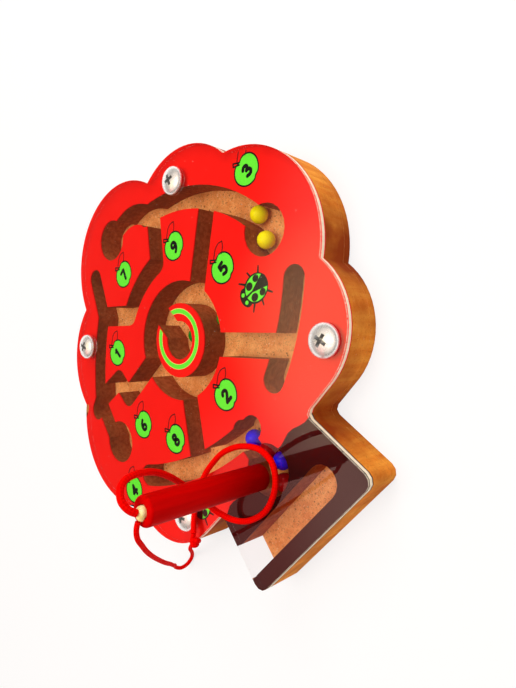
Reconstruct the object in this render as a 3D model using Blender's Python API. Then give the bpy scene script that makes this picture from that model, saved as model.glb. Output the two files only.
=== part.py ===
"""Tree-shaped magnetic ball maze with its wand, lying on its back.

Lengths are metres and +Z is up. The middle of the maze ring is on the Z axis, the tree grows along +Y,
and the back face lies on z = 0.
"""

import math

import bmesh
import bpy
from mathutils import Vector

# Loose pieces
BALL_DIAMETER = 0.006
WAND_DIAMETER = 0.0079
WAND_LENGTH = 0.0427
WAND_EDGE = 0.0008
WAND_FOOT = (-0.0016, -0.0576)
MAGNET_DIAMETER = 0.005
MAGNET_LENGTH = 0.005
PLUG_DIAMETER = 0.0032
PLUG_LENGTH = 0.006
PLUG_CROWN = 0.0008
PLUG_TOP_DIAMETER = 0.0016
CORD_DIAMETER = 0.0019
SHORT_CORD_DIAMETER = 0.0014

# Clearances
GLUE_LINE = 0.0001
LOOSE_GAP = 0.0002
BORE_GAP = 0.0001
PILOT_GAP = 0.00015
COVER_HOLE_GAP = 0.0004
CHANNEL_PLAY = 0.002
POCKET_PLAY = 0.0044
RING_PLAY = 0.0018
RING_GAP_PLAY = 0.0024
SLOT_PLAY = 0.0021
SLOT_END_PLAY = 0.0023
SLOT_DEPTH_PLAY = 0.0014

# Board layers, from the back face up; the core is just deep enough to stow the wand
BACK_THICKNESS = 0.003
CORE_THICKNESS = WAND_DIAMETER + SLOT_DEPTH_PLAY
FACING_THICKNESS = 0.0004
COVER_THICKNESS = 0.002
CORE_Z = BACK_THICKNESS + GLUE_LINE
FACING_Z = CORE_Z + CORE_THICKNESS + GLUE_LINE
COVER_Z = FACING_Z + FACING_THICKNESS + GLUE_LINE
COVER_TOP = COVER_Z + COVER_THICKNESS

# Tree outline, right half: the notches between lobes, and how far each lobe swells past its chord
TOP_NOTCH = (0.0313, 0.0517)
SIDE_NOTCH = (0.0603, 0.0238)
LOW_NOTCH = (0.0590, -0.0292)
LOBE_FOOT = (0.0348, -0.0552)
TRUNK_TOP = (0.0240, -0.0555)
TRUNK_FOOT = (0.0280, -0.0819)
TOP_RISE = 0.0233
SHOULDER_RISE = 0.0080
SIDE_RISE = 0.0138
LOW_RISE = 0.0079
ARMPIT_RADIUS = 0.0020
FOOT_RADIUS = 0.0030

# Where the red crown print meets the brown trunk print
BARK_LINE_Y = -0.0546
BARK_LINE_DROP = 0.0019
BARK_WAVE = 0.0006
BARK_WAVE_LENGTH = 0.012

# Channels, pockets and the ring, seen from above
CHANNEL_WIDTH = BALL_DIAMETER + CHANNEL_PLAY
POCKET_RADIUS = BALL_DIAMETER + POCKET_PLAY / 2
RING_BORE_RADIUS = BALL_DIAMETER + RING_PLAY / 2
RING_WALL = 0.0063
RING_RADIUS = RING_BORE_RADIUS + RING_WALL
RING_GAP = BALL_DIAMETER + RING_GAP_PLAY
MOAT_RADIUS = RING_RADIUS + CHANNEL_WIDTH
TOP_POCKET = (0.0, 0.0592)
LEFT_POCKET = (-0.0548, -0.0013)
RIGHT_POCKET = (0.0518, -0.0057)
TRUNK_POCKET = (0.0, -0.0570)
LEFT_DEAD_END = (-0.0192, 0.0577)
LEFT_NECK = (-0.0238, 0.0478)
LEFT_FORK = (-0.0266, 0.0420)
LEFT_CORNER = (-0.0534, 0.0197)
LEFT_RUN_RISE = -0.0015
LEFT_STUB = (-0.0582, 0.0184)
LEFT_DROP = (-0.0561, 0.0046)
STEP_HIGH = (-0.0375, 0.0163)
STEP_LOW = (-0.0375, 0.0075)
STEP_MOUTH = (-0.0168, 0.0058)
CREST_LEFT = (-0.0138, 0.0287)
CREST_RIGHT = (0.0117, 0.0290)
CREST_RISE = 0.0021
CREST_EXIT = (0.0222, 0.0418)
RIGHT_RUN_REACH = 0.0527
RIGHT_RUN_RADIUS = 0.0611
RIGHT_RUN_CENTRE = (RIGHT_RUN_REACH - RIGHT_RUN_RADIUS, -0.0072)
RIGHT_RUN_ANGLES = (62.0, 2.0)
S_BEND = ((0.0092, 0.0573), (0.0141, 0.0552), (0.0180, 0.0517), (0.0216, 0.0458))
UPPER_SPOKE = ((0.0154, 0.0031), (0.0442, 0.0219))
RIGHT_SPOKE = ((0.0114, -0.0140), (0.0314, -0.0357))
LEFT_SPOKE = ((-0.0093, -0.0159), (-0.0236, -0.0368))
RIGHT_POD = ((0.0213, -0.0399), (0.0486, -0.0248))
RIGHT_POD_RISE = -0.0014
LOW_RUN_LEVEL = -0.0445
LOW_RUN_RADIUS = 0.1044
LOW_RUN_CENTRE = (0.0155, LOW_RUN_LEVEL + LOW_RUN_RADIUS)
LOW_RUN_ANGLES = (-96.2, -128.3)
TRUNK_CHANNEL_TOP = (0.0, -0.0422)

# Slot in the trunk that stows the wand, open at the trunk's left side
SLOT_Y = -0.0715
SLOT_WIDTH = WAND_DIAMETER + SLOT_PLAY
SLOT_MOUTH_X = -0.0400
TRUNK_LEAN = (TRUNK_FOOT[0] - TRUNK_TOP[0]) / (TRUNK_TOP[1] - TRUNK_FOOT[1])
TRUNK_SIDE_X = -TRUNK_TOP[0] - TRUNK_LEAN * (TRUNK_TOP[1] - SLOT_Y)
SLOT_END_X = TRUNK_SIDE_X + WAND_LENGTH + SLOT_END_PLAY

# Screws that hold the cover
SCREW_PLACES = ((-0.0414, 0.0397), (0.0402, 0.0391), (-0.0397, -0.0459), (0.0438, -0.0462))
SCREW_TURNS = (20.0, 65.0, 40.0, 10.0)
SCREW_HEAD_RADIUS = 0.0050
SCREW_HEAD_HEIGHT = 0.0024
SCREW_RIM = 0.0005
SCREW_SHANK_RADIUS = 0.00145
SCREW_TIP = 0.0025
SCREW_TIP_GAP = 0.0015
RECESS_LENGTH = 0.0046
RECESS_WIDTH = 0.0011
RECESS_DEPTH = 0.0013

# Where the balls lie: angles on the runs, and angles round the pockets they rest in
YELLOW_LEAD_ANGLE = 11.3
YELLOW_TRAIL_ANGLE = 152.0
BLUE_LEAD_ANGLE = -99.9
RED_LEAD_LEAN = -0.8
RED_LEAD_Y = -0.0500
BLUE_TRAIL_ANGLE = 32.0
BLUE_TRAIL_REACH = 0.0019
RED_TRAIL_ANGLE = 235.0
GREEN_LEAD_ANGLE = 2.4
GREEN_LEAD_REACH = 0.0024
GREEN_TRAIL_ANGLE = -22.0

# The wand's cord: route points chosen by eye, from where it bends over the wand's top to the knot
CORD_EXIT_GAP = 0.0006
SHORT_EXIT_ANGLE = 217.0
LONG_ROUTE = (
    (-0.0014, -0.0567, 0.0607),
    (-0.0011, -0.0554, 0.0617),
    (-0.0007, -0.0539, 0.0622),
    (-0.0002, -0.0523, 0.0620),
    (0.0002, -0.0507, 0.0612),
    (0.0005, -0.0494, 0.0595),
    (0.0005, -0.0486, 0.0564),
    (-0.0003, -0.0481, 0.0536),
    (-0.0014, -0.0476, 0.0508),
    (-0.0029, -0.0473, 0.0478),
    (-0.0048, -0.0472, 0.0443),
    (-0.0079, -0.0475, 0.0394),
    (-0.0113, -0.0484, 0.0344),
    (-0.0150, -0.0500, 0.0292),
    (-0.0182, -0.0526, 0.0242),
    (-0.0200, -0.0562, 0.0200),
    (-0.0190, -0.0606, 0.0171),
    (-0.0143, -0.0643, 0.0163),
    (-0.0073, -0.0661, 0.0162),
    (-0.0015, -0.0650, 0.0162),
    (0.0030, -0.0623, 0.0162),
    (0.0057, -0.0577, 0.0162),
    (0.0046, -0.0521, 0.0162),
    (0.0002, -0.0473, 0.0162),
    (-0.0050, -0.0442, 0.0162),
    (-0.0113, -0.0425, 0.0162),
    (-0.0212, -0.0428, 0.0162),
    (-0.0300, -0.0462, 0.0162),
    (-0.0339, -0.0484, 0.0162),
    (-0.0366, -0.0507, 0.0164),
    (-0.0382, -0.0530, 0.0169),
)
SHORT_ROUTE = (
    (-0.0046, -0.0597, 0.0590),
    (-0.0063, -0.0605, 0.0586),
    (-0.0085, -0.0611, 0.0574),
    (-0.0121, -0.0613, 0.0546),
    (-0.0187, -0.0608, 0.0495),
    (-0.0282, -0.0596, 0.0415),
    (-0.0404, -0.0578, 0.0305),
    (-0.0511, -0.0555, 0.0209),
    (-0.0593, -0.0537, 0.0139),
    (-0.0652, -0.0519, 0.0091),
    (-0.0680, -0.0518, 0.0070),
    (-0.0687, -0.0525, 0.0045),
    (-0.0677, -0.0524, 0.0021),
    (-0.0653, -0.0517, 0.0010),
    (-0.0622, -0.0514, 0.0022),
    (-0.0549, -0.0530, 0.0078),
    (-0.0476, -0.0542, 0.0136),
    (-0.0414, -0.0552, 0.0170),
)
KNOT_PLACE = (-0.0388, -0.0557, 0.0178)
KNOT_RADIUS = 0.0017
KNOT_WRAP = 0.0009
KNOT_LEANS = (35.0, -40.0)

# How finely curves are drawn
ARC_STEP = 0.0024
CAP_STEPS = 8
TURN_STEPS = 24
CORD_STEP = 2.4 * CORD_DIAMETER
WRAP_SIDES = 8
DOME_STEPS = 5
EDGE_STEPS = 3
SHARP_ANGLE = 35.0

for leftover in list(bpy.data.objects):
    bpy.data.objects.remove(leftover)

ROOT = bpy.context.scene.collection


def material(name, colour, roughness, metallic=0.0, alpha=1.0):
    """A plain Principled material."""
    made = bpy.data.materials.new(name)
    made.use_nodes = True
    shader = made.node_tree.nodes["Principled BSDF"]
    shader.inputs["Base Color"].default_value = (*colour, 1.0)
    shader.inputs["Roughness"].default_value = roughness
    shader.inputs["Metallic"].default_value = metallic
    shader.inputs["Alpha"].default_value = alpha
    return made


BOARD = material("floor board", (0.72, 0.36, 0.13), 0.8)
CORE = material("cut fibreboard", (0.45, 0.20, 0.07), 0.8)
RED_PRINT = material("red print", (0.90, 0.02, 0.01), 0.4)
BROWN_PRINT = material("brown print", (0.08, 0.03, 0.03), 0.4)
CLEAR = material("clear sheet", (0.95, 0.97, 0.97), 0.05, alpha=0.15)
NICKEL = material("nickel", (0.80, 0.78, 0.75), 0.2, metallic=1.0)
RED_LACQUER = material("red lacquer", (0.45, 0.0, 0.0), 0.25)
MAGNET_METAL = material("magnet", (0.35, 0.35, 0.36), 0.3, metallic=1.0)
GLUE = material("dried glue", (0.95, 0.75, 0.30), 0.4)
RED_CORD = material("red cord", (0.80, 0.0, 0.0), 0.8)
BALL_PAINT = {
    "yellow": material("yellow paint", (0.95, 0.65, 0.0), 0.2),
    "blue": material("blue paint", (0.01, 0.03, 0.70), 0.2),
    "red": material("red paint", (0.50, 0.0, 0.0), 0.2),
    "green": material("green paint", (0.01, 0.30, 0.02), 0.2),
}


def polar(centre, radius, degrees):
    """The point at an angle and distance from a centre."""
    turn = math.radians(degrees)
    return Vector((centre[0] + radius * math.cos(turn), centre[1] + radius * math.sin(turn)))


def arc(centre, radius, start, end):
    """Points on a circular arc between two angles in degrees."""
    length = abs(math.radians(end - start)) * radius
    steps = max(2, math.ceil(length / ARC_STEP))
    return [polar(centre, radius, start + (end - start) * i / steps) for i in range(steps + 1)]


def bow(start, end, rise):
    """Points on the arc from start to end that swells by rise to the left of its chord."""
    start, end = Vector(start), Vector(end)
    chord = end - start
    left = Vector((-chord.y, chord.x)).normalized()
    half = chord.length / 2
    radius = (half * half + rise * rise) / (2 * rise)
    centre = (start + end) / 2 + left * (rise - radius)
    first = math.degrees(math.atan2(start.y - centre.y, start.x - centre.x))
    sweep = math.degrees(2 * math.asin(half / abs(radius)))
    return arc(centre, abs(radius), first, first - math.copysign(sweep, rise))


def smooth(points, step):
    """Points at about an even step on a smooth curve that passes through the given ones."""
    route = [Vector(point) for point in points]
    padded = [2 * route[0] - route[1], *route, 2 * route[-1] - route[-2]]
    curve = [route[0]]
    for before, here, there, after in zip(padded, padded[1:], padded[2:], padded[3:]):
        pieces = max(1, round((there - here).length / step))
        for i in range(1, pieces + 1):
            t = i / pieces
            curve.append(
                (2 * here + (there - before) * t
                 + (2 * before - 5 * here + 4 * there - after) * t * t
                 + (3 * here - before - 3 * there + after) * t ** 3) / 2
            )
    return curve


def rounded(before, corner, after, radius):
    """The fillet arc that replaces a corner."""
    before, corner, after = Vector(before), Vector(corner), Vector(after)
    back, ahead = (before - corner).normalized(), (after - corner).normalized()
    half = back.angle(ahead) / 2
    reach = radius / math.tan(half)
    start, end = corner + back * reach, corner + ahead * reach
    turn_left = back.x * ahead.y - back.y * ahead.x < 0
    rise = radius * (1 - math.sin(half))
    return bow(start, end, -rise if turn_left else rise)


def mirrored(points):
    """The same points on the other side of the tree, in reverse order."""
    return [Vector((-point.x, point.y)) for point in reversed(points)]


def stroke(path, width):
    """The outline of a groove with round ends, along a smooth path."""
    path = [Vector(point) for point in path]
    befores = [path[0], *path[:-1]]
    afters = [*path[1:], path[-1]]
    left = []
    for before, after in zip(befores, afters):
        way = (after - before).normalized()
        left.append(Vector((-way.y, way.x)) * (width / 2))
    outline = [point + side for point, side in zip(path, left)]
    outline += half_turn(path[-1], left[-1])
    outline += [point - side for point, side in zip(reversed(path), reversed(left))]
    outline += half_turn(path[0], -left[0])
    return outline


def half_turn(place, side):
    """The round end of a groove, clockwise from one side to the other."""
    first = math.degrees(math.atan2(side.y, side.x))
    return [polar(place, side.length, first - 180.0 * i / CAP_STEPS) for i in range(1, CAP_STEPS)]


def link(made, finish=None, parent=None):
    """Put an object in the scene with its material and parent."""
    ROOT.objects.link(made)
    if finish:
        made.data.materials.append(finish)
    made.parent = parent
    return made


def mesh_object(name, shape, finish=None, parent=None, smooth_faces=False):
    """An object from a bmesh, its faces turned outwards."""
    bmesh.ops.recalc_face_normals(shape, faces=shape.faces)
    mesh = bpy.data.meshes.new(name)
    shape.to_mesh(mesh)
    shape.free()
    if smooth_faces:
        mesh.shade_smooth()
        mesh.set_sharp_from_angle(angle=math.radians(SHARP_ANGLE))
    return link(bpy.data.objects.new(name, mesh), finish, parent)


def prism(name, outline, low, high, finish=None):
    """A flat outline extruded from one height to another."""
    shape = bmesh.new()
    corners = []
    for point in outline:
        if not corners or (corners[-1].co.xy - point).length > GLUE_LINE / 10:
            corners.append(shape.verts.new((point.x, point.y, low)))
    face = shape.faces.new(corners)
    wall = bmesh.ops.extrude_face_region(shape, geom=[face])
    lifted = [item for item in wall["geom"] if isinstance(item, bmesh.types.BMVert)]
    bmesh.ops.translate(shape, verts=lifted, vec=(0, 0, high - low))
    return mesh_object(name, shape, finish)


def turned(name, profile, finish=None, parent=None):
    """A solid of revolution about Z, from radii and heights that start and end on the axis."""
    shape = bmesh.new()
    line = [shape.verts.new((radius, 0, height)) for radius, height in profile]
    edges = [shape.edges.new(pair) for pair in zip(line, line[1:])]
    bmesh.ops.spin(
        shape, geom=line + edges, axis=(0, 0, 1), cent=(0, 0, 0), angle=2 * math.pi, steps=TURN_STEPS
    )
    bmesh.ops.remove_doubles(shape, verts=shape.verts, dist=GLUE_LINE / 10)
    return mesh_object(name, shape, finish, parent, smooth_faces=True)


def empty(name, place):
    """An empty on a joint's axis, for the pieces that move there."""
    made = bpy.data.objects.new(name, None)
    ROOT.objects.link(made)
    made.location = place
    return made


def cutter(made, group):
    """Keep an object out of the finished model and file it with the cutters of one kind."""
    made.hide_render = True
    made.display_type = "WIRE"
    ROOT.objects.unlink(made)
    group.objects.link(made)
    return made


def cutter_group(name):
    """A collection of cutters."""
    group = bpy.data.collections.new(name)
    ROOT.children.link(group)
    return group


def cut_by(target, group):
    """Take every cutter of a group out of a solid."""
    boolean = target.modifiers.new("cut " + group.name, "BOOLEAN")
    boolean.operation = "DIFFERENCE"
    boolean.solver = "EXACT"
    boolean.operand_type = "COLLECTION"
    boolean.collection = group


def tree_outline():
    """The outline of the whole tree, clockwise from the left end of its top lobe."""
    crown = bow(TOP_NOTCH, SIDE_NOTCH, SHOULDER_RISE)
    crown += bow(SIDE_NOTCH, LOW_NOTCH, SIDE_RISE)
    crown += bow(LOW_NOTCH, LOBE_FOOT, LOW_RISE)
    other_foot = (-TRUNK_FOOT[0], TRUNK_FOOT[1])
    crown += rounded(LOBE_FOOT, TRUNK_TOP, TRUNK_FOOT, ARMPIT_RADIUS)
    crown += rounded(TRUNK_TOP, TRUNK_FOOT, other_foot, FOOT_RADIUS)
    top_lobe = bow((-TOP_NOTCH[0], TOP_NOTCH[1]), TOP_NOTCH, TOP_RISE)
    outline = top_lobe[1:-1] + crown + mirrored(crown)
    return outline


def left_run():
    return bow(LEFT_FORK, LEFT_CORNER, LEFT_RUN_RISE)


def crest_run():
    return bow(CREST_LEFT, CREST_RIGHT, CREST_RISE)


def right_run(start=RIGHT_RUN_ANGLES[0], end=RIGHT_RUN_ANGLES[1]):
    return arc(RIGHT_RUN_CENTRE, RIGHT_RUN_RADIUS, start, end)


def groove_paths():
    """The middle line of every channel."""
    legs = [
        (LEFT_CORNER, LEFT_STUB), (LEFT_CORNER, LEFT_DROP), (LEFT_DROP, LEFT_POCKET),
        (LEFT_CORNER, STEP_HIGH), (STEP_HIGH, STEP_LOW), (STEP_LOW, STEP_MOUTH),
        (LEFT_FORK, CREST_LEFT), (CREST_RIGHT, CREST_EXIT),
        UPPER_SPOKE, RIGHT_SPOKE, LEFT_SPOKE, (TRUNK_CHANNEL_TOP, TRUNK_POCKET),
    ]
    curves = [
        smooth((LEFT_DEAD_END, LEFT_NECK, LEFT_FORK), ARC_STEP),
        left_run(),
        crest_run(),
        smooth((TOP_POCKET, *S_BEND), ARC_STEP),
        right_run(),
        bow(*RIGHT_POD, RIGHT_POD_RISE),
        arc(LOW_RUN_CENTRE, LOW_RUN_RADIUS, *LOW_RUN_ANGLES),
    ]
    return legs + curves


def angle_at(centre, point):
    return math.degrees(math.atan2(point[1] - centre[1], point[0] - centre[0]))


def island_border():
    """A line in the middle of the channels, all the way round the island between ring and outer run."""
    origin = (0.0, 0.0)
    moat_middle = RING_RADIUS + CHANNEL_WIDTH / 2
    over_ring = arc(origin, moat_middle, angle_at(origin, STEP_MOUTH), angle_at(origin, UPPER_SPOKE[0]))
    outer = right_run(angle_at(RIGHT_RUN_CENTRE, UPPER_SPOKE[1]), angle_at(RIGHT_RUN_CENTRE, CREST_EXIT))
    border = left_run()
    border += [Vector(STEP_HIGH), Vector(STEP_LOW)]
    border += over_ring + outer
    border += [Vector(CREST_EXIT)] + list(reversed(crest_run()))
    return border


def make_cutters():
    """Cutters through core and facings: the channels, what the frame leaves to the island, the holes."""
    low, high = CORE_Z - GLUE_LINE / 2, COVER_Z - GLUE_LINE / 2
    channels = cutter_group("channels")
    for number, path in enumerate(groove_paths()):
        cutter(prism(f"groove {number}", stroke(path, CHANNEL_WIDTH), low, high), channels)
    moat = arc((0.0, 0.0), MOAT_RADIUS, 0.0, 360.0)[:-1]
    cutter(prism("moat", moat, low, high), channels)
    pockets = cutter_group("pockets and slot")
    for number, place in enumerate((TOP_POCKET, LEFT_POCKET, RIGHT_POCKET, TRUNK_POCKET)):
        cutter(prism(f"pocket {number}", arc(place, POCKET_RADIUS, 0.0, 360.0)[:-1], low, high), pockets)
    slot_path = ((SLOT_MOUTH_X, SLOT_Y), (SLOT_END_X - SLOT_WIDTH / 2, SLOT_Y))
    cutter(prism("wand slot", stroke(slot_path, SLOT_WIDTH), low, high), pockets)
    island = cutter_group("island room")
    cutter(prism("island", island_border(), low, high), island)
    pilots = cutter_group("pilot holes")
    holes = cutter_group("cover holes")
    for number, place in enumerate(SCREW_PLACES):
        pilot = round_hole(place, SCREW_SHANK_RADIUS + PILOT_GAP)
        cutter(prism(f"pilot {number}", pilot, low, high), pilots)
        hole = round_hole(place, SCREW_SHANK_RADIUS + COVER_HOLE_GAP)
        cutter(prism(f"hole {number}", hole, COVER_Z - GLUE_LINE / 2, COVER_TOP + GLUE_LINE), holes)
    return channels, pockets, island, pilots, holes


def round_hole(place, radius):
    """The outline of a small round hole."""
    return [polar(place, radius, 360.0 * i / TURN_STEPS) for i in range(TURN_STEPS)]


def bark_line(lift):
    """The wavy line across the top of the trunk, left to right."""
    half = TRUNK_TOP[0] + ARMPIT_RADIUS
    steps = math.ceil(2 * half / ARC_STEP)
    line = []
    for i in range(steps + 1):
        x = -half + 2 * half * i / steps
        drop = BARK_LINE_DROP * abs(x / half) ** 3
        wave = BARK_WAVE * math.sin(2 * math.pi * x / BARK_WAVE_LENGTH)
        line.append(Vector((x, BARK_LINE_Y - drop + wave + lift)))
    return line


def trunk_region(name, lift, low, high):
    """A block that holds everything below the bark line."""
    reach = TRUNK_FOOT[1] - TRUNK_FOOT[0]
    line = bark_line(lift)
    side = line[-1].x + TRUNK_FOOT[0]
    corners = [Vector((side, line[-1].y)), Vector((side, reach))]
    corners += [Vector((line[0].x - TRUNK_FOOT[0], reach)), Vector((line[0].x - TRUNK_FOOT[0], line[0].y))]
    return prism(name, line + corners, low, high)


def ring_outline():
    """The C of the maze ring, with a straight-sided gap at the top."""
    outer = math.degrees(math.asin(RING_GAP / 2 / RING_RADIUS))
    inner = math.degrees(math.asin(RING_GAP / 2 / RING_BORE_RADIUS))
    outline = arc((0.0, 0.0), RING_RADIUS, 90.0 - outer, outer - 270.0)
    outline += arc((0.0, 0.0), RING_BORE_RADIUS, inner - 270.0, 90.0 - inner)
    return outline


def make_board():
    """The layers of the board, from the back panel to the clear cover."""
    channels, pockets, island, pilots, holes = make_cutters()
    tree = tree_outline()
    border = island_border()
    core_top = CORE_Z + CORE_THICKNESS
    facing_top = FACING_Z + FACING_THICKNESS
    prism("back_panel", tree, 0.0, BACK_THICKNESS, BOARD)

    frame = prism("maze_frame", tree, CORE_Z, core_top, CORE)
    crown = prism("crown_facing", tree, FACING_Z, facing_top, RED_PRINT)
    trunk = prism("trunk_facing", tree, FACING_Z, facing_top, BROWN_PRINT)
    region_low, region_high = FACING_Z - GLUE_LINE / 2, facing_top + GLUE_LINE / 2
    below = cutter_group("below the bark line")
    cutter(trunk_region("trunk side", GLUE_LINE, region_low, region_high), below)
    kept = cutter(trunk_region("trunk keep", 0.0, region_low, region_high), cutter_group("kept trunk"))
    keep = trunk.modifiers.new("keep the trunk", "BOOLEAN")
    keep.operation = "INTERSECT"
    keep.solver = "EXACT"
    keep.object = kept
    cut_by(crown, below)
    for sheet in (frame, crown, trunk):
        for group in (channels, pockets, island, pilots):
            cut_by(sheet, group)

    cut_by(prism("maze_island", border, CORE_Z, core_top, CORE), channels)
    cut_by(prism("island_facing", border, FACING_Z, facing_top, RED_PRINT), channels)
    prism("maze_ring", ring_outline(), CORE_Z, core_top, CORE)
    prism("ring_facing", ring_outline(), FACING_Z, facing_top, RED_PRINT)
    cut_by(prism("clear_cover", tree, COVER_Z, COVER_TOP, CLEAR), holes)


def make_screws():
    """Low-dome screws with a cross recess, their heads seated on the cover."""
    dome = SCREW_HEAD_HEIGHT - SCREW_RIM
    length = COVER_TOP - CORE_Z - SCREW_TIP_GAP
    profile = [(0.0, SCREW_HEAD_HEIGHT)]
    for i in range(1, DOME_STEPS + 1):
        turn = math.pi / 2 * i / DOME_STEPS
        profile.append((SCREW_HEAD_RADIUS * math.sin(turn), SCREW_RIM + dome * math.cos(turn)))
    profile += [(SCREW_HEAD_RADIUS, 0.0), (SCREW_SHANK_RADIUS, 0.0)]
    profile += [(SCREW_SHANK_RADIUS, SCREW_TIP - length), (0.0, -length)]
    pattern = turned("screw pattern", profile)
    recess = cutter_group("screw recess")
    bar = (RECESS_LENGTH / 2, RECESS_WIDTH / 2)
    for half_x, half_y in (bar, bar[::-1]):
        corners = [Vector((half_x * a, half_y * b)) for a, b in ((1, 1), (-1, 1), (-1, -1), (1, -1))]
        low = SCREW_HEAD_HEIGHT - RECESS_DEPTH
        cutter(prism("recess bar", corners, low, SCREW_HEAD_HEIGHT + RECESS_DEPTH), recess)
    cut_by(pattern, recess)
    finished = pattern.evaluated_get(bpy.context.evaluated_depsgraph_get())
    mesh = bpy.data.meshes.new_from_object(finished)
    mesh.materials.clear()
    mesh.materials.append(NICKEL)
    bpy.data.objects.remove(pattern)
    for number, (place, turn) in enumerate(zip(SCREW_PLACES, SCREW_TURNS), start=1):
        screw = link(bpy.data.objects.new(f"cover_screw_{number}", mesh))
        screw.location = (*place, COVER_TOP + GLUE_LINE)
        screw.rotation_euler.z = math.radians(turn)


def make_wand():
    """The dowel with its magnet, glue plug and tied cord, standing on the cover."""
    foot = empty("wand_place", (*WAND_FOOT, COVER_TOP + LOOSE_GAP))
    radius = WAND_DIAMETER / 2
    magnet_bore = MAGNET_DIAMETER / 2 + BORE_GAP
    magnet_depth = MAGNET_LENGTH + 2 * BORE_GAP
    plug_bore = PLUG_DIAMETER / 2 + BORE_GAP
    top_edge, foot_edge = [], []
    for i in range(EDGE_STEPS + 1):
        turn = math.pi / 2 * i / EDGE_STEPS
        inset, drop = WAND_EDGE * (1 - math.sin(turn)), WAND_EDGE * (1 - math.cos(turn))
        top_edge.append((radius - inset, WAND_LENGTH - drop))
        foot_edge.append((radius - drop, inset))
    bore_foot = WAND_LENGTH - PLUG_LENGTH
    profile = [(0.0, bore_foot), (plug_bore, bore_foot), (plug_bore, WAND_LENGTH)]
    profile += top_edge + foot_edge
    profile += [(magnet_bore, 0.0), (magnet_bore, magnet_depth), (0.0, magnet_depth)]
    turned("wand_stick", profile, RED_LACQUER, foot)

    half = MAGNET_DIAMETER / 2
    ends = (BORE_GAP, BORE_GAP + MAGNET_LENGTH)
    profile = [(0.0, ends[1]), (half, ends[1]), (half, ends[0]), (0.0, ends[0])]
    turned("wand_magnet", profile, MAGNET_METAL, foot)

    plug_foot = bore_foot + BORE_GAP
    plug_top = WAND_LENGTH + PLUG_CROWN
    shoulder = plug_top - (PLUG_DIAMETER - PLUG_TOP_DIAMETER) / 2
    profile = [(0.0, plug_top), (PLUG_TOP_DIAMETER / 2, plug_top), (PLUG_DIAMETER / 2, shoulder)]
    profile += [(PLUG_DIAMETER / 2, plug_foot), (0.0, plug_foot)]
    turned("cord_plug", profile, GLUE, foot)
    make_cords(foot, COVER_TOP + LOOSE_GAP + plug_top)


def make_cords(foot, plug_top):
    """The two stretches of cord, from the plug to the knot, and the knot that ties them."""
    to_foot = foot.matrix_basis.inverted()
    long_exit = Vector((*WAND_FOOT, plug_top + CORD_EXIT_GAP))
    way = polar((0.0, 0.0), 1.0, SHORT_EXIT_ANGLE)
    short_reach = PLUG_DIAMETER / 2 + CORD_EXIT_GAP
    short_exit = Vector((*WAND_FOOT, plug_top + BORE_GAP)) + way.to_3d() * short_reach
    stretches = (
        ("cord_long", CORD_DIAMETER, (long_exit, *LONG_ROUTE)),
        ("cord_short", SHORT_CORD_DIAMETER, (short_exit, *SHORT_ROUTE)),
    )
    for name, diameter, route in stretches:
        curve = bpy.data.curves.new(name, "CURVE")
        curve.dimensions = "3D"
        curve.bevel_depth = diameter / 2
        curve.bevel_resolution = 2
        curve.use_fill_caps = True
        line = curve.splines.new("POLY")
        points = smooth(route, CORD_STEP)
        line.points.add(len(points) - 1)
        for spot, point in zip(line.points, points):
            spot.co = (*point, 1.0)
        made = link(bpy.data.objects.new(name, curve), RED_CORD, foot)
        made.matrix_parent_inverse = to_foot

    knot = bmesh.new()
    bmesh.ops.create_icosphere(knot, subdivisions=2, radius=KNOT_RADIUS)
    lump = mesh_object("cord_knot", knot, RED_CORD, foot, smooth_faces=True)
    lump.matrix_parent_inverse = to_foot
    lump.location = KNOT_PLACE
    wraps = cutter_group("knot wraps")
    for number, lean in enumerate(KNOT_LEANS):
        made = wrap_ring(f"wrap {number}", KNOT_RADIUS, KNOT_WRAP)
        made.location = KNOT_PLACE
        made.rotation_euler = (math.radians(90 + lean), 0.0, math.radians(lean))
        cutter(made, wraps)
        join = lump.modifiers.new("wrap", "BOOLEAN")
        join.operation = "UNION"
        join.solver = "EXACT"
        join.object = made


def wrap_ring(name, radius, thickness):
    """One turn of cord round the knot."""
    shape = bmesh.new()
    loop = []
    for i in range(WRAP_SIDES):
        turn = 2 * math.pi * i / WRAP_SIDES
        loop.append(shape.verts.new((radius + thickness * math.cos(turn), 0.0, thickness * math.sin(turn))))
    edges = [shape.edges.new((loop[i], loop[(i + 1) % WRAP_SIDES])) for i in range(WRAP_SIDES)]
    bmesh.ops.spin(
        shape, geom=loop + edges, axis=(0, 0, 1), cent=(0, 0, 0), angle=2 * math.pi, steps=TURN_STEPS
    )
    bmesh.ops.remove_doubles(shape, verts=shape.verts, dist=GLUE_LINE / 10)
    return mesh_object(name, shape)


def make_ball(name, place, parent=None):
    """A painted steel ball on the channel floor."""
    shape = bmesh.new()
    bmesh.ops.create_icosphere(shape, subdivisions=3, radius=BALL_DIAMETER / 2)
    made = mesh_object(name, shape, BALL_PAINT[name.split("_")[0]], parent, smooth_faces=True)
    height = BACK_THICKNESS + LOOSE_GAP + BALL_DIAMETER / 2
    made.location = (*place, height if parent is None else 0.0)
    return made


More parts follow.
